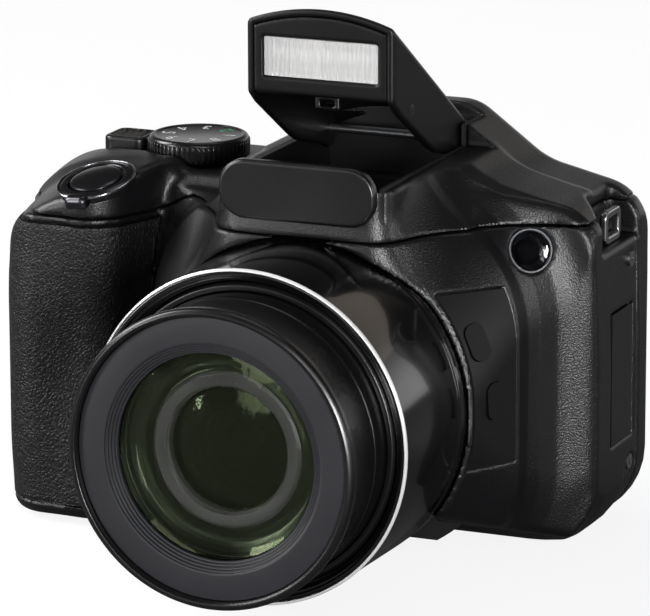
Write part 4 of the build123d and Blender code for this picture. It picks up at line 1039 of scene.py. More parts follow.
@dataclass
class Case:
    """The moulded covers: front, rear and top shells, and the grip's rubber skin."""

    shape: Envelope = field(default_factory=Envelope)
    seam: float = 0.1
    edge: float = 0.25
    button_places: tuple[tuple[float, float], ...] = (
        (-33.5, 58.0), (-59.0, 44.5), (-35.0, 44.5), (-59.0, 10.5))
    button_well: tuple[float, float] = (3.35, 1.95)
    screw_heights: tuple[float, float] = (54.8, 14.4)
    battery_mouth: tuple[tuple[float, ...], ...] = ((-64.2, -14.2, -3), (-47.3, 8.7, 2.3))
    terminal_mouth: tuple[tuple[float, ...], ...] = ((46.8, -4.7, 19.8), (53, 7.7, 46.2))
    switch_well: tuple[tuple[float, ...], ...] = ((-59.8, -2.8, 67.9), (-50.2, 6.8, 90))
    dial_well: tuple[float, float, float] = (-39.4, -0.2, 10.45)
    wheel_well: tuple[float, float, float] = (-46, 27, 9.3)
    screen_middle: tuple[float, float] = (5, 33)
    screen_half: tuple[float, float] = (33.05, 25.05)
    skin_reach: tuple[float, float, float] = (34, 36, 62)
    bed_limits: tuple[float, float] = (38.6, 9.2)
    leather_limits: tuple[float, float] = (38.7, 9.3)
    panel_low: tuple[float, float, float] = (23.9, -36.7, 21.9)
    panel_high: tuple[float, float] = (-25.9, 55.1)
    panel_depth: float = 0.75
    lens_bore: float = 32.45
    lamp_bore: float = 4.3
    socket_bore: float = 5.02
    mirror_x: float = -21.0

    def pockets(self) -> list[tuple[np.ndarray, float]]:
        """List what is cut out of the case, each with its edge rounding.

        Returns:
            Fields and radii.
        """
        s, g = self.shape, self.shape.grid
        bay = rounded_box(g, (-s.bay_half, -39.8, 65.8), (s.bay_half, 10.6, 90), 0.6)
        right_pocket = s.lug_pocket(g.x, 0.0)
        left_pocket = s.lug_pocket(self.mirror_x - g.x, 0.0)
        battery = rounded_box(g, *self.battery_mouth, 0.3)
        terminal = rounded_box(g, *self.terminal_mouth, 0.3)
        lens = s.cylinder((0, s.lens_z), self.lens_bore, "y", -60, -12)
        away, height = s.about_lamp(g)
        lamp = np.maximum(away - self.lamp_bore, -6.5 - height)
        dial = s.cylinder(self.dial_well, self.dial_well[2], "z", 68.75, 90)
        switch = rounded_box(g, *self.switch_well, 0.8)
        screen = rounded_square(g.x - self.screen_middle[0], g.z - self.screen_middle[1],
                                self.screen_half[0], 3.0, self.screen_half[1])
        screen = np.maximum(screen, s.back - 1.35 - g.y)
        wheel = s.cylinder(self.wheel_well, self.wheel_well[2], "y", s.back - 1.65, 40)
        cuts = [(bay, 0.5), (right_pocket, 0.9), (left_pocket, 0.9), (battery, 0.3),
                (terminal, 0.3), (lens, 0.5), (lamp, 0.3), (dial, 0.5), (switch, 0.4),
                (screen, 0.4), (wheel, 0.5), (s.tilted(8.2, 1.0), 0.5),
                (s.cylinder((0, 0), self.socket_bore, "z", -5, 2.2), 0.2)]
        radius, depth = self.button_well
        for spot in self.button_places:
            cuts.append((s.cylinder(spot, radius, "y", s.back - depth, 40), 0.4))
        for z in self.screw_heights:
            cuts.append((s.cylinder((6.2, z), 1.55, "x", 48.0, 60), 0.25))
        return cuts

    def shell(self) -> np.ndarray:
        """Give the hollow case with all its openings cut.

        Returns:
            The field of the case.
        """
        s, g = self.shape, self.shape.grid
        room = s.outer + s.wall + 0.1
        # Bosses, walls and beds that stay solid when the case is hollowed
        housings = np.minimum(s.lug_pocket(g.x, 1.8), s.lug_pocket(self.mirror_x - g.x, 1.8))
        away, height = s.about_lamp(g)
        housings = np.minimum(housings, np.maximum(away - 5.5, -7.0 - height))
        seats = np.minimum(rounded_box(g, (-62, -12.5, 64.5), (-27, 9.5, 90), 0.5),
                           s.tilted(11.0, 5.0))
        bay = rounded_box(g, (-18, -41, 64.2), (18, 12.4, 90), 0.5)
        keep = np.minimum(np.minimum(housings, bay), np.minimum(
            seats, s.cylinder((0, 0), 7.0, "z", -5, 7)))
        for spot in self.button_places:
            keep = np.minimum(keep, s.cylinder(spot, 4.4, "y", s.back - 3.4, 40))
        room = np.maximum(room, -keep)
        case = np.maximum(s.outer, -room)
        for cut, radius in self.pockets():
            case = without(case, cut, radius)
        return case

    def build(self) -> None:
        """Make the covers and the grip's skin, and let them ride and replace."""
        s, g = self.shape, self.shape.grid
        case = self.shell()
        under_lid = g.z - s.lid_seam + 3.5 * ramp(-g.y, 7, 13) * ramp(-g.x, 32, 42)
        skin_zone = np.maximum(np.maximum(s.grip_plan(), s.skin_low - g.z), g.z - s.skin_high)
        inner, rear_end = self.bed_limits
        skin_zone = np.maximum(skin_zone, np.maximum(g.y + rear_end, g.x + inner))
        bed = np.maximum(skin_zone, -(s.outer + s.skin))
        (left, ahead, below), (behind, above) = self.panel_low, self.panel_high
        ridge_panel = np.maximum(np.maximum(left - g.x, ahead - g.y), g.y - behind)
        ridge_panel = np.maximum(ridge_panel, np.maximum(below - g.z, g.z - above))
        panel_bed = np.maximum(ridge_panel, -(s.outer + self.panel_depth))
        front = rounded_meet(case, g.y - s.split_y + self.seam, self.edge)
        front = rounded_meet(front, under_lid + self.seam, self.edge)
        front = without(without(front, bed, 0.15), panel_bed, 0.2)
        rear = rounded_meet(case, s.split_y + self.seam - g.y, self.edge)
        rear = rounded_meet(rear, under_lid + self.seam, self.edge)
        top = rounded_meet(case, self.seam - under_lid, self.edge)
        self.cover("front_shell", front, BODY, "front_cover", 190000)
        self.cover("rear_shell", rear, BODY, "rear_cover", 100000)
        self.cover("top_shell", top, BODY, "top_cover", 150000)
        self.grip_skin()

    def cover(self, name: str, form: np.ndarray, finish: Finish, node: str, most: int) -> None:
        """Make one cover from its field.

        Args:
            name: the piece's name.
            form: the cover's field.
            finish: its finish.
            node: the CAD node that it stands for.
            most: the most triangles to keep.
        """
        piece = dressed(name, self.shape.grid, form, finish, most)
        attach(piece, "camera")
        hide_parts(node)
        report(piece)

    def grip_skin(self) -> None:
        """Make the grained skin in its bed on the grip."""
        s = self.shape
        spots = tuple(slice(0, int(reach / s.step)) for reach in self.skin_reach)
        patch, outer = s.grid.block(spots), s.outer[spots]
        plan = s.grip_plan()[spots]
        edge = np.maximum(plan, np.maximum(s.skin_low + 0.1 - patch.z, patch.z - s.skin_high + 0.1))
        inner, rear_end = self.leather_limits
        edge = rounded_meet(edge, patch.y + rear_end, 0.4)
        edge = rounded_meet(edge, patch.x + inner, 0.4)
        skin = rounded_meet(np.maximum(outer + 0.02, -(outer + s.skin - 0.05)), edge, 0.35)
        piece = dressed("grip_leather", patch, skin, GRIP, 90000)
        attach(piece, "camera")
        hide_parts("grip_skin")
        report(piece)


@dataclass
class Lens:
    """The lens unit: gloss shroud, bright trim, two barrels and the glass."""

    z: float = 32.5
    shroud: tuple[float, float] = (32.2, 31.7)
    face_steps: int = 4
    ribs_end: float = 63.5

    def turned(self, name: str, profile: Sequence[tuple[float, float]], bevel: float,
               finish: Finish, turns: int) -> bpy.types.Object:
        """Spin a profile about the lens axis, with its corners rounded.

        Args:
            name: the piece's name.
            profile: distance ahead and radius of each point.
            bevel: the rounding of its corners.
            finish: its finish.
            turns: points round the axis.

        Returns:
            The new object.
        """
        return spun(name, bevelled(profile, bevel), (0, 0, self.z), (0, -1, 0), finish, turns)

    def place(self, name: str, profile: Sequence[tuple[float, float]], finish: Finish, body: str,
              node: str, slot: str, bevel: float = 0.25, turns: int = 224) -> bpy.types.Object:
        """Spin one ring of the lens and let it ride and replace.

        Args:
            name: the piece's name.
            profile: distance ahead and radius of each point.
            finish: its finish.
            body: the body it rides on.
            node: the CAD node it stands for.
            slot: the record's material slot; not used.
            bevel: the rounding of its corners.
            turns: points round the axis.

        Returns:
            The new object.
        """
        piece = self.turned(name, profile, bevel, finish, turns)
        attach(piece, body)
        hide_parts(node)
        report(piece)
        return piece

    def fixed_rings(self) -> None:
        """Make the shroud with its shallow groove, and the bright trim ring at its mouth."""
        rear, front = self.shroud
        self.place("gloss_shroud", [
            (14.0, 30.8), (64.4, 30.8), (64.4, 29.7), (65.2, 29.6), (65.6, 30.0),
            (65.6, front - 0.1), (65.2, front), (41.2, rear - 0.02), (40.9, rear - 0.35),
            (40.4, rear - 0.35), (40.1, rear), (14.0, rear),
        ], GLOSS, "camera", "lens_shroud", "shroud_gloss", 0.12)
        inner = self.turned("band_seat", [
            (65.62, 30.4), (66.2, 30.4), (66.45, 30.6), (66.45, 31.28), (65.62, 31.28),
        ], 0.08, GLOSS, 224)
        # The line's matt near-white colour paints the reflection of the plating
        line = self.turned("band_line", [
            (65.62, 31.42), (66.4, 31.42), (66.5, 31.5), (66.48, 31.74), (66.3, 31.92),
            (65.95, 32.0), (65.62, 31.9),
        ], 0.05, SILVER_PAINTED_REFLECTION, 256)
        band = joined("chrome_band", [inner, line])
        soften(band, 40)
        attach(band, "camera")
        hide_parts("trim_ring")
        report(band)

    def moving_rings(self) -> None:
        """Make the two barrels, with their chamfers and grooves."""
        self.place("outer_barrel", [
            (30.0, 27.6), (65.0, 27.6), (65.0, 28.5), (64.5, 29.0), (61.2, 29.0),
            (61.0, 28.8), (60.6, 28.8), (60.4, 29.0), (30.0, 29.0),
        ], BARREL, "middle_barrel", "middle_barrel", "barrel_black", 0.1)
        self.place("inner_barrel", [
            (33.0, 25.6), (80.2, 25.6), (80.2, 26.7), (82.7, 26.7), (83.15, 27.0),
            (83.2, 27.5), (82.8, 28.1), (82.2, 28.3), (80.9, 28.3), (80.55, 27.9),
            (80.3, 27.3), (70.4, 27.3), (70.2, 27.15), (69.9, 27.15), (69.7, 27.3), (33.0, 27.3),
        ], BARREL, "front_barrel", "front_barrel", "barrel_black", 0.1)

    def front_rings(self) -> None:
        """Make the bare face ring, its stepped throat and the ribbed cone behind the glass."""
        steps = [(80.3, 26.62), (81.6, 26.62), (81.75, 26.45), (81.75, 21.9)]
        ahead, radius = 81.7, 21.5
        for _ in range(self.face_steps):
            steps += [(ahead, radius), (ahead - 0.42, radius - 0.1)]
            steps += [(ahead - 0.47, radius - 0.42), (ahead - 0.36, radius - 0.46)]
            ahead, radius = ahead - 0.4, radius - 0.5
        steps += [(79.4, 19.55), (79.2, 19.75), (79.2, 21.0), (80.3, 21.3)]
        self.place("bare_face_ring", steps, RING_FACE, "front_barrel", "name_ring",
                   "barrel_black", 0.05)
        cone = self.turned("cone", [
            (74.5, 19.35), (73.6, 18.9), (72.9, 18.1), (72.5, 17.2), (72.4, 16.4), (72.6, 15.6),
            (73.0, 14.9), (73.1, 14.5), (70.0, 14.4), (70.0, 20.0), (74.5, 20.0),
        ], 0.15, COATED_CONE, 192)
        retainer = self.turned("retainer", [
            (72.2, 11.5), (72.7, 11.55), (72.9, 11.8), (73.25, 12.0), (73.4, 13.9),
            (73.2, 14.2), (73.0, 14.5), (71.0, 14.5), (71.0, 11.5),
        ], 0.08, RETAINER, 192)
        steps, ahead, radius = [(71.0, 11.6)], 70.0, 11.2
        while ahead > self.ribs_end:
            steps += [(ahead, radius), (ahead - 0.9, radius - 0.15), (ahead - 0.95, radius - 1.35)]
            ahead, radius = ahead - 1.15, radius - 1.45
        steps += [(62.4, 2.6), (62.0, 2.6), (62.0, 13.0), (71.0, 13.0)]
        ribs = self.turned("ribs", steps, 0.06, BAFFLE, 160)
        whole = joined("throat_cone", [ribs, cone, retainer])
        soften(whole, 35)
        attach(whole, "front_barrel")
        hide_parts("front_baffle")
        report(whole)

    def glass(self) -> None:
        """Make the front lens and the one behind it, each with its coating; the second's dark
        colour paints shade.
        """
        front = self.dome(19.4, 79.2, 81.0, 74.8, 76.2)
        self.place("front_glass", front, GLASS_FRONT, "front_barrel", "front_element",
                   "lens_glass", 0.0001, 192)
        second = self.dome(11.45, 70.9, 72.4, 70.2, 71.4)
        self.place("second_glass", second, GLASS_SECOND, "front_barrel", "second_element",
                   "lens_glass", 0.0001, 128)

    def dome(self, radius: float, edge: float, pole: float, rear_edge: float,
             rear_pole: float) -> list[tuple[float, float]]:
        """Draw the profile of a lens.

        Args:
            radius: its radius.
            edge: how far ahead the front face meets the rim.
            pole: how far ahead the front face reaches.
            rear_edge: how far ahead the rear face meets the rim.
            rear_pole: how far ahead the rear face is on the axis.

        Returns:
            Distance ahead and radius of each point.
        """
        shares = np.linspace(0, 1, 22)
        front = [(pole - (pole - edge) * s * s, radius * s) for s in shares]
        rear = [(rear_pole - (rear_pole - rear_edge) * s * s, radius * s) for s in shares[::-1]]
        return [(float(a), float(r)) for a, r in front + rear]

    def build(self) -> None:
        """Make every ring and lens."""
        self.fixed_rings()
        self.moving_rings()
        self.front_rings()
        self.glass()


@dataclass
class Flash:
    """The raised flash: crowned roof, side plates, lamp head and ribbed window."""

    hinge: tuple[float, float] = (5.5, 75.5)
    half: float = 15.0
    plate: float = 1.4
    face: float = -31.5
    top: float = 104.0
    crown: float = 2.35
    end_radius: float = 3.9
    window_half: float = 11.6
    window: tuple[float, float] = (93.0, 100.5)
    head_low: float = 89.5
    rib_count: int = 26
    points_a_rib: int = 8
    rib_depth: float = 0.12
    step: float = 0.3

    def build(self) -> None:
        """Make the shell, the head, the window and the small details."""
        self.shell()
        self.ribbed_window()
        self.details()

    def roof_height(self, y: np.ndarray | float) -> np.ndarray | float:
        """Give the roof line's height at a depth.

        Args:
            y: the depth.

        Returns:
            The height there.
        """
        rear = self.hinge[1] + self.end_radius
        slope = (self.top - rear) / (self.hinge[0] - self.face)
        return rear + (self.hinge[0] - y) * slope

    def shell(self) -> None:
        """Make the roof with its plates, and the head's frame between them."""
        grid = Grid((-15.4, -32.0, 71.0), (15.4, 9.9, 106.6), self.step)
        slope = (self.top - self.hinge[1] - self.end_radius) / (self.hinge[0] - self.face)
        flat = math.hypot(1, slope)
        above = (grid.z - self.roof_height(grid.y)) / flat
        bow = (self.half ** 2 + self.crown ** 2) / (2 * self.crown)
        crowned = np.hypot(grid.x, above - self.crown + bow) - bow
        side = outline_distance(grid.y, grid.z, [
            (self.face, self.head_low, 1.6), (self.face, 118, 0), (5.5, 118, 0),
            (5.5, 72, 0.5), (-10.6, 76.2, 1.0), (-14, 78, 3.0), (-28.5, 87, 3.0)])
        width = np.abs(grid.x) - self.half
        rear = np.hypot(grid.y - self.hinge[0], grid.z - self.hinge[1]) - self.end_radius
        outer = rounded_meet(side, crowned, 0.9)
        outer = np.minimum(outer, rear)
        outer = rounded_meet(outer, width, 0.8)
        hollow = np.maximum(width + self.plate, crowned + self.plate)
        hollow = np.maximum(hollow, self.face - 2 - grid.y)
        shell = without(outer, hollow, 0.25)
        shell = np.maximum(shell, 0.85 - np.hypot(grid.y - self.hinge[0], grid.z - self.hinge[1]))
        piece = dressed("flash_shell", grid, shell, CAP_GLOSS, 110000)
        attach(piece, "flash")
        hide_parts("flash_cover")
        head = np.maximum(width + self.plate + 0.06, crowned + self.plate + 0.06)
        head = rounded_meet(head, rounded_meet(self.face - grid.y, grid.y + 22.0, 0.6), 0.4)
        head = rounded_meet(head, self.head_low - grid.z, 0.9)
        low, high = self.window
        mouth = rounded_square(grid.x, grid.z - (low + high) / 2, self.window_half + 0.05, 0.6,
                               (high - low) / 2 + 0.05)
        mouth = np.maximum(mouth, grid.y + 24.55)
        head = without(head, mouth, 0.45)
        frame_piece = dressed("flash_frame", grid, head, CAP_GLOSS, 70000)
        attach(frame_piece, "flash")
        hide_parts("flash_head")
        report(piece, frame_piece)

    def ribbed_window(self) -> None:
        """Make the window as a sheet whose front is a row of small upright lenses."""
        low, high = self.window
        count = self.rib_count * self.points_a_rib + 1
        across = np.linspace(-self.window_half + 0.05, self.window_half - 0.05, count)
        wave = np.abs(np.sin(np.arange(count) * math.pi / self.points_a_rib))
        front, back = -31.0 - self.rib_depth * wave, np.full(count, -29.7)
        rows = [np.stack([across, depth, np.full(count, z)], axis=1)
                for z in (low + 0.05, high - 0.05) for depth in (front, back)]
        points = np.concatenate(rows)
        faces = [(0, count, 3 * count, 2 * count),
                 (count - 1, 3 * count - 1, 4 * count - 1, 2 * count - 1)]
        for i in range(count - 1):
            a, b, c, d = i, count + i, 2 * count + i, 3 * count + i
            faces += [(a, a + 1, c + 1, c), (b, b + 1, d + 1, d), (a, a + 1, b + 1, b),
                      (c, c + 1, d + 1, d)]
        piece = new_object("flash_lens_sheet", points, faces, FLASH_GLASS, 50)
        mend(piece)
        soften(piece, 50)
        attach(piece, "flash")
        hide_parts("flash_window")
        report(piece)

    def details(self) -> None:
        """Make the screw boss on each plate and the catch under the head."""
        bosses = []
        for side in (-1, 1):
            bosses.append(spun("boss", bevelled([
                (0.0, 0.0), (0.28, 0.0), (0.28, 1.1), (0.1, 1.5), (0.0, 1.5)], 0.06),
                (side * 14.75, -22.5, 86.6), (side, 0, 0), BUTTON, 40))
        catch_grid = Grid((-3.4, -29.0, 86.0), (3.4, -24.0, 90.4), 0.2)
        catch = rounded_box(catch_grid, (-2.6, -28.2, 86.6), (2.6, -25.2, 89.9), 0.5)
        slot = rounded_box(catch_grid, (-1.5, -30.0, 87.3), (1.5, -24.0, 88.5), 0.3)
        bosses.append(dressed("catch", catch_grid, without(catch, slot, 0.2), BUTTON, 8000))
        piece = joined("flash_boss_and_catch", bosses)
        soften(piece, 40)
        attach(piece, "flash")
        report(piece)


@dataclass
class TopControls:
    """Mode dial, power switch, zoom lever and shutter button."""

    dial: tuple[float, float] = (-39.4, -0.2)
    switch: tuple[float, float] = (-55.0, 2.0)
    switch_top: float = 71.8
    rib_pitch: float = 1.45
    knurl_count: int = 60
    knurl_size: tuple[float, float, float] = (0.5, 0.62, 3.2)
    knurl_radius: float = 9.86
    figure_count: int = 8
    figure_height: float = 3.9
    figure_radius: float = 6.3
    seat: Envelope | None = None

    def build(self) -> None:
        """Make each control."""
        self.mode_dial()
        self.power_switch()
        self.zoom_lever()
        self.shutter()

    def mode_dial(self) -> None:
        """Make the dial with its ribbed side and its plain figures."""
        x, y = self.dial
        body = spun("dial_body", bevelled([
            (68.8, 0), (68.8, 9.5), (69.2, 9.85), (72.7, 9.85), (73.15, 9.6), (73.4, 9.2),
            (73.4, 8.6), (73.22, 8.45), (73.22, 0)], 0.12), (x, y, 0), (0, 0, 1), BARREL, 160)
        knurl = Ribs("dial_knurl", self.knurl_count, self.knurl_size, self.knurl_radius, BARREL)
        ribs = knurl.build(Matrix.Translation(Vector((x, y, 70.9)) * MM))
        shaft = spun("dial_shaft", bevelled([(65.1, 0), (65.1, 2.9), (69.0, 2.9), (69.0, 0)], 0.1),
                     (x, y, 0), (0, 0, 1), STEEL, 48)
        marks = []
        for index in range(self.figure_count):
            angle = math.radians(index * 360 / self.figure_count + 10)
            ink = MARK_GREEN if index == 1 else MARK_WHITE
            figure = self.figure(str(index + 1), self.figure_height, ink)
            spot = Vector((x + self.figure_radius * math.cos(angle),
                           y + self.figure_radius * math.sin(angle), 73.24)) * MM
            marks.append(placed(figure, Matrix.Translation(spot)
                                @ Matrix.Rotation(angle + math.pi / 2, 4, "Z")))
        piece = joined("mode_dial_cap", [body, ribs, shaft, *marks])
        soften(piece, 40)
        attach(piece, "mode_dial")
        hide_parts("mode_dial")
        report(piece)

    def figure(self, text: str, height: float, finish: Finish) -> bpy.types.Object:
        """Make one plain figure as a thin printed mesh, its middle at the origin.

        Args:
            text: the number to print.
            height: its height in millimetres.
            finish: the print's finish.

        Returns:
            The figure as a mesh object.
        """
        curve = bpy.data.curves.new("figure", "FONT")
        curve.body, curve.size = text, height * MM
        curve.align_x, curve.align_y = "CENTER", "CENTER"
        curve.extrude = 0.01 * MM
        curve.resolution_u = 3
        holder = linked("figure", curve)
        graph = bpy.context.evaluated_depsgraph_get()
        mesh = bpy.data.meshes.new_from_object(holder.evaluated_get(graph))
        bpy.data.objects.remove(holder)
        mesh.materials.clear()
        mesh.materials.append(finish.material())
        return linked("figure_mesh", mesh)

    def power_switch(self) -> None:
        """Make the switch as a rounded block with grip ribs across it."""
        x, y = self.switch
        grid = Grid((x - 4.6, y - 4.6, 67.9), (x + 4.6, y + 4.6, 71.9), 0.14)
        block = rounded_square(grid.x - x, grid.y - y, 4.5, 2.0)
        block = rounded_meet(block, grid.z - self.switch_top, 0.7)
        block = rounded_meet(block, 68.45 - grid.z, 0.3)
        groove = 0.36 - 0.42 * np.cos((grid.x - x) * 2 * math.pi / self.rib_pitch)
        inside = rounded_square(grid.x - x, grid.y - y, 3.5, 1.2)
        ribbed = np.maximum(block, np.minimum(-inside, grid.z - self.switch_top + groove))
        piece = dressed("power_slider", grid, ribbed, BUTTON, 40000)
        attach(piece, "power_switch")
        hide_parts("power_switch")
        report(piece)

    def cap_frame(self) -> tuple[Matrix, Vector]:
        """Give the turn and the place of the sloping cap at the shutter.

        Returns:
            The turn from upright, and the place in millimetres.
        """
        normal = self.seat.cap_normal
        turn = Vector((0, 0, 1)).rotation_difference(normal).to_matrix().to_4x4()
        return turn, Vector(self.seat.cap_point)

    def zoom_lever(self) -> None:
        """Make the lever ring with its finger tab in front."""
        turn, spot = self.cap_frame()
        normal = self.seat.cap_normal
        ring = spun("lever_ring", bevelled([
            (-0.95, 5.6), (0.6, 5.6), (0.9, 5.85), (0.85, 6.6), (0.6, 7.3), (0.3, 7.5),
            (-0.95, 7.5)], 0.12), spot, normal, SHUTTER, 128)
        grid = Grid((-2.6, -9.7, -1.0), (2.6, -6.6, 1.4), 0.12)
        tab = rounded_square(grid.x, grid.y + 8.1, 2.45, 1.3, 1.5)
        tab = rounded_meet(tab, grid.z - 1.35, 1.1)
        tab = rounded_meet(tab, -0.9 - grid.z, 0.2)
        tab_piece = dressed("lever_tab", grid, tab, LEVER, 12000)
        heading = Matrix.Rotation(math.radians(-4), 4, "Z")
        placed(tab_piece, Matrix.Translation(spot * MM) @ turn @ heading)
        lip = spun("lever_lip", bevelled([
            (0.3, 7.45), (0.75, 7.5), (0.8, 7.7), (0.65, 7.92), (0.3, 7.95)], 0.06),
            spot, normal, NICKEL, 160)
        piece = joined("lever_ring_and_tab", [ring, lip, tab_piece])
        soften(piece, 40)
        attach(piece, "zoom_lever")
        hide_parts("zoom_lever")
        report(piece)

    def shutter(self) -> None:
        """Make the domed shutter button."""
        _, spot = self.cap_frame()
        shares = np.linspace(0, 1, 12)
        dome = [(1.62 - 0.55 * float(s) ** 2, 4.75 * float(s)) for s in shares]
        stem = [(0.9, 5.1), (0.5, 5.2), (-0.35, 5.2), (-0.35, 2.0), (-2.1, 2.0), (-2.1, 0)]
        profile = dome + stem
        piece = spun("shutter_dome", profile, spot, self.seat.cap_normal, SHUTTER, 128, 40)
        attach(piece, "shutter_button")
        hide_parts("shutter_button")
        report(piece)


@dataclass
class FrontTrim:
    """Small fixed pieces: the bare plate over the lens, the focus lamp and the strap loops."""

    seat: Envelope | None = None
    plate_half: float = 15.8
    plate_z: tuple[float, float] = (68.0, 79.3)
    plate_y: tuple[float, float] = (-43.2, -41.22)
    cup_radius: float = 4.24
    cup_room: float = 3.9
    cup_mouth: float = 2.6
    eye_radius: float = 2.5
    window_radius: float = 3.86
    loop_middle: tuple[float, float] = (2.0, 62.0)
    loop_half: tuple[float, float] = (4.2, 3.3)
    eye_half: tuple[float, float] = (2.9, 1.8)
    loop_thickness: float = 1.3

    def build(self) -> None:
        """Make the plate, the strap loops and the lamp."""
        self.plate()
        self.strap_lugs()
        self.lamp()

    def plate(self) -> None:
        """Make the bare plate over the lens."""
        low, high = self.plate_z
        grid = Grid((-16.0, -43.3, low - 0.3), (16.0, -41.0, high + 0.3), 0.16)
        slab = rounded_square(grid.x, grid.z - (low + high) / 2, self.plate_half, 5.2,
                              (high - low) / 2)
        slab = rounded_meet(slab, self.plate_y[0] - grid.y, 0.7)
        slab = np.maximum(slab, grid.y - self.plate_y[1])
        plate = dressed("bare_plate", grid, slab, PLATE, 60000)
        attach(plate, "camera")
        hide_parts("name_plate")
        report(plate)

    def about_the_lamp(self) -> tuple[Grid, np.ndarray]:
        """Lay a grid twice as fine as the case's round the focus lamp.

        Returns:
            The grid, and the distance to the outside of the case on it.
        """
        form = self.seat
        x, z = form.lamp
        spots = [slice(int((a - start) / form.step), int((b - start) / form.step) + 1)
                 for a, b, start in zip((x - 9, -26, z - 9), (x + 8, -8, z + 8), form.grid.start)]
        outer = form.outer[tuple(spots)]
        corner = form.grid.start + np.array([part.start for part in spots]) * form.step
        for axis in range(3):
            outer = np.moveaxis(outer, axis, 0)
            finer = np.empty((2 * len(outer) - 1, *outer.shape[1:]), np.float32)
            finer[::2], finer[1::2] = outer, (outer[:-1] + outer[1:]) / 2
            outer = np.moveaxis(finer, 0, axis)
        far = corner + (np.array(outer.shape) - 1) * form.step / 2
        grid = Grid(tuple(corner + form.step / 2), tuple(far - form.step / 2), form.step / 2)
        grid.shape = outer.shape
        grid.x, grid.y, grid.z = (
            (corner[n] + np.arange(outer.shape[n]) * form.step / 2).astype(np.float32).reshape(
                [-1 if n == m else 1 for m in range(3)]) for n in range(3))
        grid.start = corner
        return grid, outer

    def lamp(self) -> None:
        """Make the focus lamp: its cup with a small eye inside, and its window."""
        grid, outer = self.about_the_lamp()
        away, height = self.seat.about_lamp(grid)
        cup = np.maximum(np.maximum(away - self.cup_radius, outer + 0.12), -6.2 - height)
        room = np.maximum(away - self.cup_room, -5.4 - height)
        ledge = np.maximum(away - self.cup_mouth, -1.9 - height)
        cup = np.maximum(cup, -np.minimum(room, ledge))
        eye = rounded_meet(away - self.eye_radius, height + 2.2, 0.6)
        eye = dressed("lamp_eye", grid, rounded_meet(eye, -5.6 - height, 0.1), BAFFLE, 6000)
        bezel = joined("lamp_ring", [dressed("lamp_cup", grid, cup, LAMP_CUP, 14000), eye])
        soften(bezel, 40)
        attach(bezel, "camera")
        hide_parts("af_lamp_bezel")
        sheet = rounded_meet(away - self.window_radius, outer + 0.02, 0.3)
        sheet = rounded_meet(sheet, -outer - 0.9, 0.2)
        glass = dressed("lamp_window", grid, sheet, SMOKED, 20000)
        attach(glass, "camera")
        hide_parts("af_lamp_glass")
        report(bezel, glass)

    def strap_lugs(self) -> None:
        """Make the steel strap loop in the notch at each side."""
        y, z = self.loop_middle
        for side, name, x in ((1, "right", 46.0), (-1, "left", -67.0)):
            grid = Grid((x - 4.5, -3.0, 57.8), (x + 4.5, 7.0, 66.0), 0.14)
            loop = rounded_square(grid.y - y, grid.z - z, self.loop_half[0], 1.6,
                                  self.loop_half[1])
            hole = rounded_square(grid.y - y, grid.z - z, self.eye_half[0], 0.7, self.eye_half[1])
            loop = without(loop, hole, 0.3)
            loop = rounded_meet(loop, np.abs(grid.x - x) - self.loop_thickness / 2, 0.35)
            stem = rounded_box(grid, (min(x, x - side * 4.3), -0.9, 58.7),
                               (max(x, x - side * 4.3), 4.9, 60.0), 0.3)
            lug = dressed(f"strap_loop_{name}", grid, rounded_join(loop, stem, 0.4), NICKEL, 16000)
            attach(lug, "camera")
            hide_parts(f"strap_lug_{name}")
            report(lug)


@dataclass
class Carried:
    """The CAD nodes that stay as they are and only get their finish."""

    usual: Finish = BODY

    def build(self, frame: dict) -> None:
        """Give every CAD node its finish by its name.

        Args:
            frame: the loaded frame.
        """
        for name, node in frame["nodes"].items():
            finish = NODE_FINISH.get(name, self.usual)
            node.data.materials.clear()
            node.data.materials.append(finish.material())
            log.info("%s: carried over in %s", name, finish.name)


class Mouth(Enum):
    """The outline of a soft box."""

    SQUARE = "RECTANGLE"
    ROUND = "ELLIPSE"


@dataclass(frozen=True)
class SoftBox:
    """One lamp: its place and size in metres, its power, its colour and its outline."""

    name: str
    place: tuple[float, float, float]
    size: tuple[float, float]
    watts: float
    shade: str = "ffffff"
    mouth: Mouth = Mouth.SQUARE


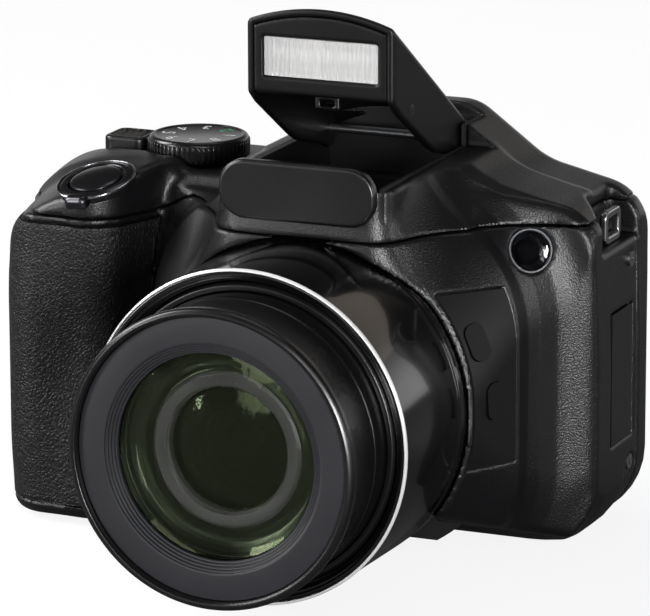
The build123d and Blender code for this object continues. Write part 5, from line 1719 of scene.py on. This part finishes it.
@dataclass
class Studio:
    """The camera, the soft lamps, the pale floor and the backdrop."""

    eye: tuple[float, float, float] = (0.3529, -0.851, 0.2755)
    heading: tuple[float, float, float] = (-0.3825, 0.8906, -0.2460)
    roll: float = -0.16
    lens: float = 269.4
    sensor: float = 36.0
    ambient: float = 0.05
    floor_reach: float = 6.0
    floor_height: float = -0.0003
    floor_shade: str = "6e6e6e"
    floor_white: float = 0.86
    aim: tuple[float, float, float] = (0.0, -0.01, 0.045)
    # The key light comes from the left. The front strips draw the long highlights on the
    # shroud, and the round one makes the soft patch in the front lens.
    boxes: tuple[SoftBox, ...] = (
        SoftBox("key_box", (-0.9, -0.2, 0.7), (0.5, 0.6), 13.0),
        SoftBox("top_box", (0.0, 0.25, 1.1), (0.6, 0.3), 0.9),
        SoftBox("right_strip", (1.1, 0.05, 0.2), (0.12, 0.6), 4.0),
        SoftBox("front_right", (0.7, -1.0, 0.1), (0.2, 0.5), 22.0),
        SoftBox("front_left", (-0.85, -0.95, 0.3), (0.3, 0.6), 8.0),
        SoftBox("high_front", (0.45, -1.4, 0.75), (0.35, 0.35), 3.0),
        SoftBox("low_front", (-0.26, -1.4, 0.19), (0.46, 0.32), 1.1, mouth=Mouth.ROUND),
        SoftBox("rear_glow", (0.45, 1.3, 0.75), (0.7, 0.6), 0.5, "fff0e2"))

    def camera(self) -> None:
        """Set the camera where the photograph was taken from."""
        data = bpy.data.cameras.new("view")
        data.lens, data.sensor_width, data.sensor_fit = self.lens, self.sensor, "HORIZONTAL"
        data.clip_end = 20
        view = linked("view", data)
        turn = Vector(self.heading).to_track_quat("-Z", "Y").to_matrix().to_4x4()
        tilt = Matrix.Rotation(math.radians(self.roll), 4, "Z")
        view.matrix_world = Matrix.Translation(self.eye) @ turn @ tilt
        bpy.context.scene.camera = view

    def lamp(self, box: SoftBox) -> None:
        """Hang one soft box.

        Args:
            box: the lamp.
        """
        data = bpy.data.lights.new(box.name, "AREA")
        data.shape, data.energy = box.mouth.value, box.watts
        data.size, data.size_y = box.size
        data.color = linear(box.shade)[:3]
        hung = linked(box.name, data)
        hung.location = box.place
        way = Vector(self.aim) - Vector(box.place)
        hung.rotation_euler = way.to_track_quat("-Z", "Y").to_euler()

    def seen_rays(self, tree: bpy.types.NodeTree,
                  share: bpy.types.NodeSocket) -> bpy.types.NodeSocket:
        """Pick the camera's rays, and a share of the mirrored and refracted ones.

        Args:
            tree: the node tree to add to.
            share: how much of the mirrored and refracted rays to pick.

        Returns:
            1 for a picked ray and 0 for any other.
        """
        path = add_node(tree, "ShaderNodeLightPath")
        through = add_node(tree, "ShaderNodeMath", {"operation": "MAXIMUM"}, {
            0: path.outputs["Is Glossy Ray"], 1: path.outputs["Is Transmission Ray"]})
        mirrored = add_node(tree, "ShaderNodeMath", {"operation": "MULTIPLY"},
                            {0: through.outputs[0], 1: share})
        every = add_node(tree, "ShaderNodeMath", {"operation": "MAXIMUM"},
                         {0: path.outputs["Is Camera Ray"], 1: mirrored.outputs[0]})
        return every.outputs[0]

    def plain(self, name: str, shade: str, seen: float) -> bpy.types.Material:
        """Build a pale ground that the camera sees as white and that keeps shadows.

        Args:
            name: the material's name.
            shade: its colour.
            seen: how much white is added for camera, glossy and transmission rays.

        Returns:
            The material.
        """
        material = bpy.data.materials.new(name)
        material.use_nodes = True
        tree = material.node_tree
        tree.nodes.clear()
        matt = add_node(tree, "ShaderNodeBsdfDiffuse", {"Color": linear(shade)})
        glow = add_node(tree, "ShaderNodeEmission", {"Color": (1, 1, 1, 1), "Strength": seen})
        place = add_node(tree, "ShaderNodeTexCoord").outputs["Object"]
        depth = add_node(tree, "ShaderNodeSeparateXYZ", {}, {"Vector": place}).outputs["Y"]
        behind = add_node(tree, "ShaderNodeMapRange", {
            "interpolation_type": "SMOOTHSTEP", "From Min": 0.5, "From Max": 1.5}, {"Value": depth})
        picked = self.seen_rays(tree, behind.outputs["Result"])
        none = add_node(tree, "ShaderNodeEmission", {"Strength": 0.0})
        pick = add_node(tree, "ShaderNodeMixShader", {},
                        {0: picked, 1: none.outputs[0], 2: glow.outputs[0]})
        both = add_node(tree, "ShaderNodeAddShader", {}, {0: matt.outputs[0], 1: pick.outputs[0]})
        add_node(tree, "ShaderNodeOutputMaterial", {}, {"Surface": both.outputs[0]})
        return material

    def ground(self) -> None:
        """Lay the floor and set the world: pale behind the object, dim in front of it."""
        mesh = bpy.data.meshes.new("floor")
        reach, low = self.floor_reach, self.floor_height
        mesh.from_pydata([(-reach, -reach, low), (reach, -reach, low), (reach, reach, low),
                          (-reach, reach, low)], [], [(0, 1, 2, 3)])
        floor = linked("floor", mesh)
        mesh.materials.append(self.plain("pale_floor", self.floor_shade, self.floor_white))
        world = bpy.data.worlds.new("even_light")
        bpy.context.scene.world = world
        world.use_nodes = True
        tree = world.node_tree
        tree.nodes.clear()
        way = add_node(tree, "ShaderNodeTexCoord").outputs["Generated"]
        part = add_node(tree, "ShaderNodeSeparateXYZ", {}, {"Vector": way}).outputs
        behind = add_node(tree, "ShaderNodeMapRange", {
            "interpolation_type": "SMOOTHSTEP", "From Min": 0.3, "From Max": 0.85},
            {"Value": part["Y"]})
        below = add_node(tree, "ShaderNodeMapRange", {
            "interpolation_type": "SMOOTHSTEP", "From Min": 0.38, "From Max": 0.08},
            {"Value": part["Z"]})
        sweep = add_node(tree, "ShaderNodeMath", {"operation": "MULTIPLY"},
                         {0: behind.outputs["Result"], 1: below.outputs["Result"]})
        picked = self.seen_rays(tree, sweep.outputs[0])
        dim = add_node(tree, "ShaderNodeBackground", {
            "Color": (1, 1, 1, 1), "Strength": self.ambient})
        white = add_node(tree, "ShaderNodeBackground", {"Color": (1, 1, 1, 1), "Strength": 1.0})
        pick = add_node(tree, "ShaderNodeMixShader", {},
                        {0: picked, 1: dim.outputs[0], 2: white.outputs[0]})
        add_node(tree, "ShaderNodeOutputWorld", {}, {"Surface": pick.outputs[0]})

    def build(self) -> None:
        """Set up the camera, the lamps and the ground."""
        scene = bpy.context.scene
        scene.view_settings.view_transform = "Standard"
        self.camera()
        for box in self.boxes:
            self.lamp(box)
        self.ground()


NODE_FINISH = {
    "grip_skin": GRIP, "name_plate": PLATE, "assist_panel": PANEL,
    "strap_lug_right": NICKEL, "strap_lug_left": NICKEL, "side_screws": STEEL,
    "tripod_socket": STEEL, "lens_base": BAFFLE, "guide_rods": STEEL, "image_sensor": SCREEN,
    "sensor_bracket": STEEL, "zoom_motor": STEEL, "motor_pinion": BRASS, "cam_ring": BAFFLE,
    "iris_unit": BAFFLE, "focus_cell": BAFFLE, "focus_element": GLASS, "main_board": BOARD,
    "chassis": STEEL, "data_socket": STEEL, "battery": CELL, "memory_card": CARD,
    "lcd_panel": LCD, "screen_window": SCREEN, "rear_dial": BARREL, "set_button": BUTTON,
    "battery_door": BODY, "terminal_door": BODY, "flash_bay": BAFFLE, "flash_hinge_pin": STEEL,
    "flash_reflector": REFLECTOR, "flash_tube": FLASH_GLASS, "movie_button": BUTTON,
    "display_button": BUTTON, "playback_button": BUTTON, "menu_button": BUTTON,
    "assist_button_upper": PAD, "assist_button_lower": PAD,
}


def main() -> None:
    """Build the camera piece by piece on its frame."""
    logging.basicConfig(level=logging.INFO, format="%(message)s")
    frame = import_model()
    Studio().build()
    Carried().build(frame)
    case = Case()
    case.build()
    Lens().build()
    Flash().build()
    TopControls(seat=case.shape).build()
    FrontTrim(seat=case.shape).build()


if __name__ == "__main__":
    main()
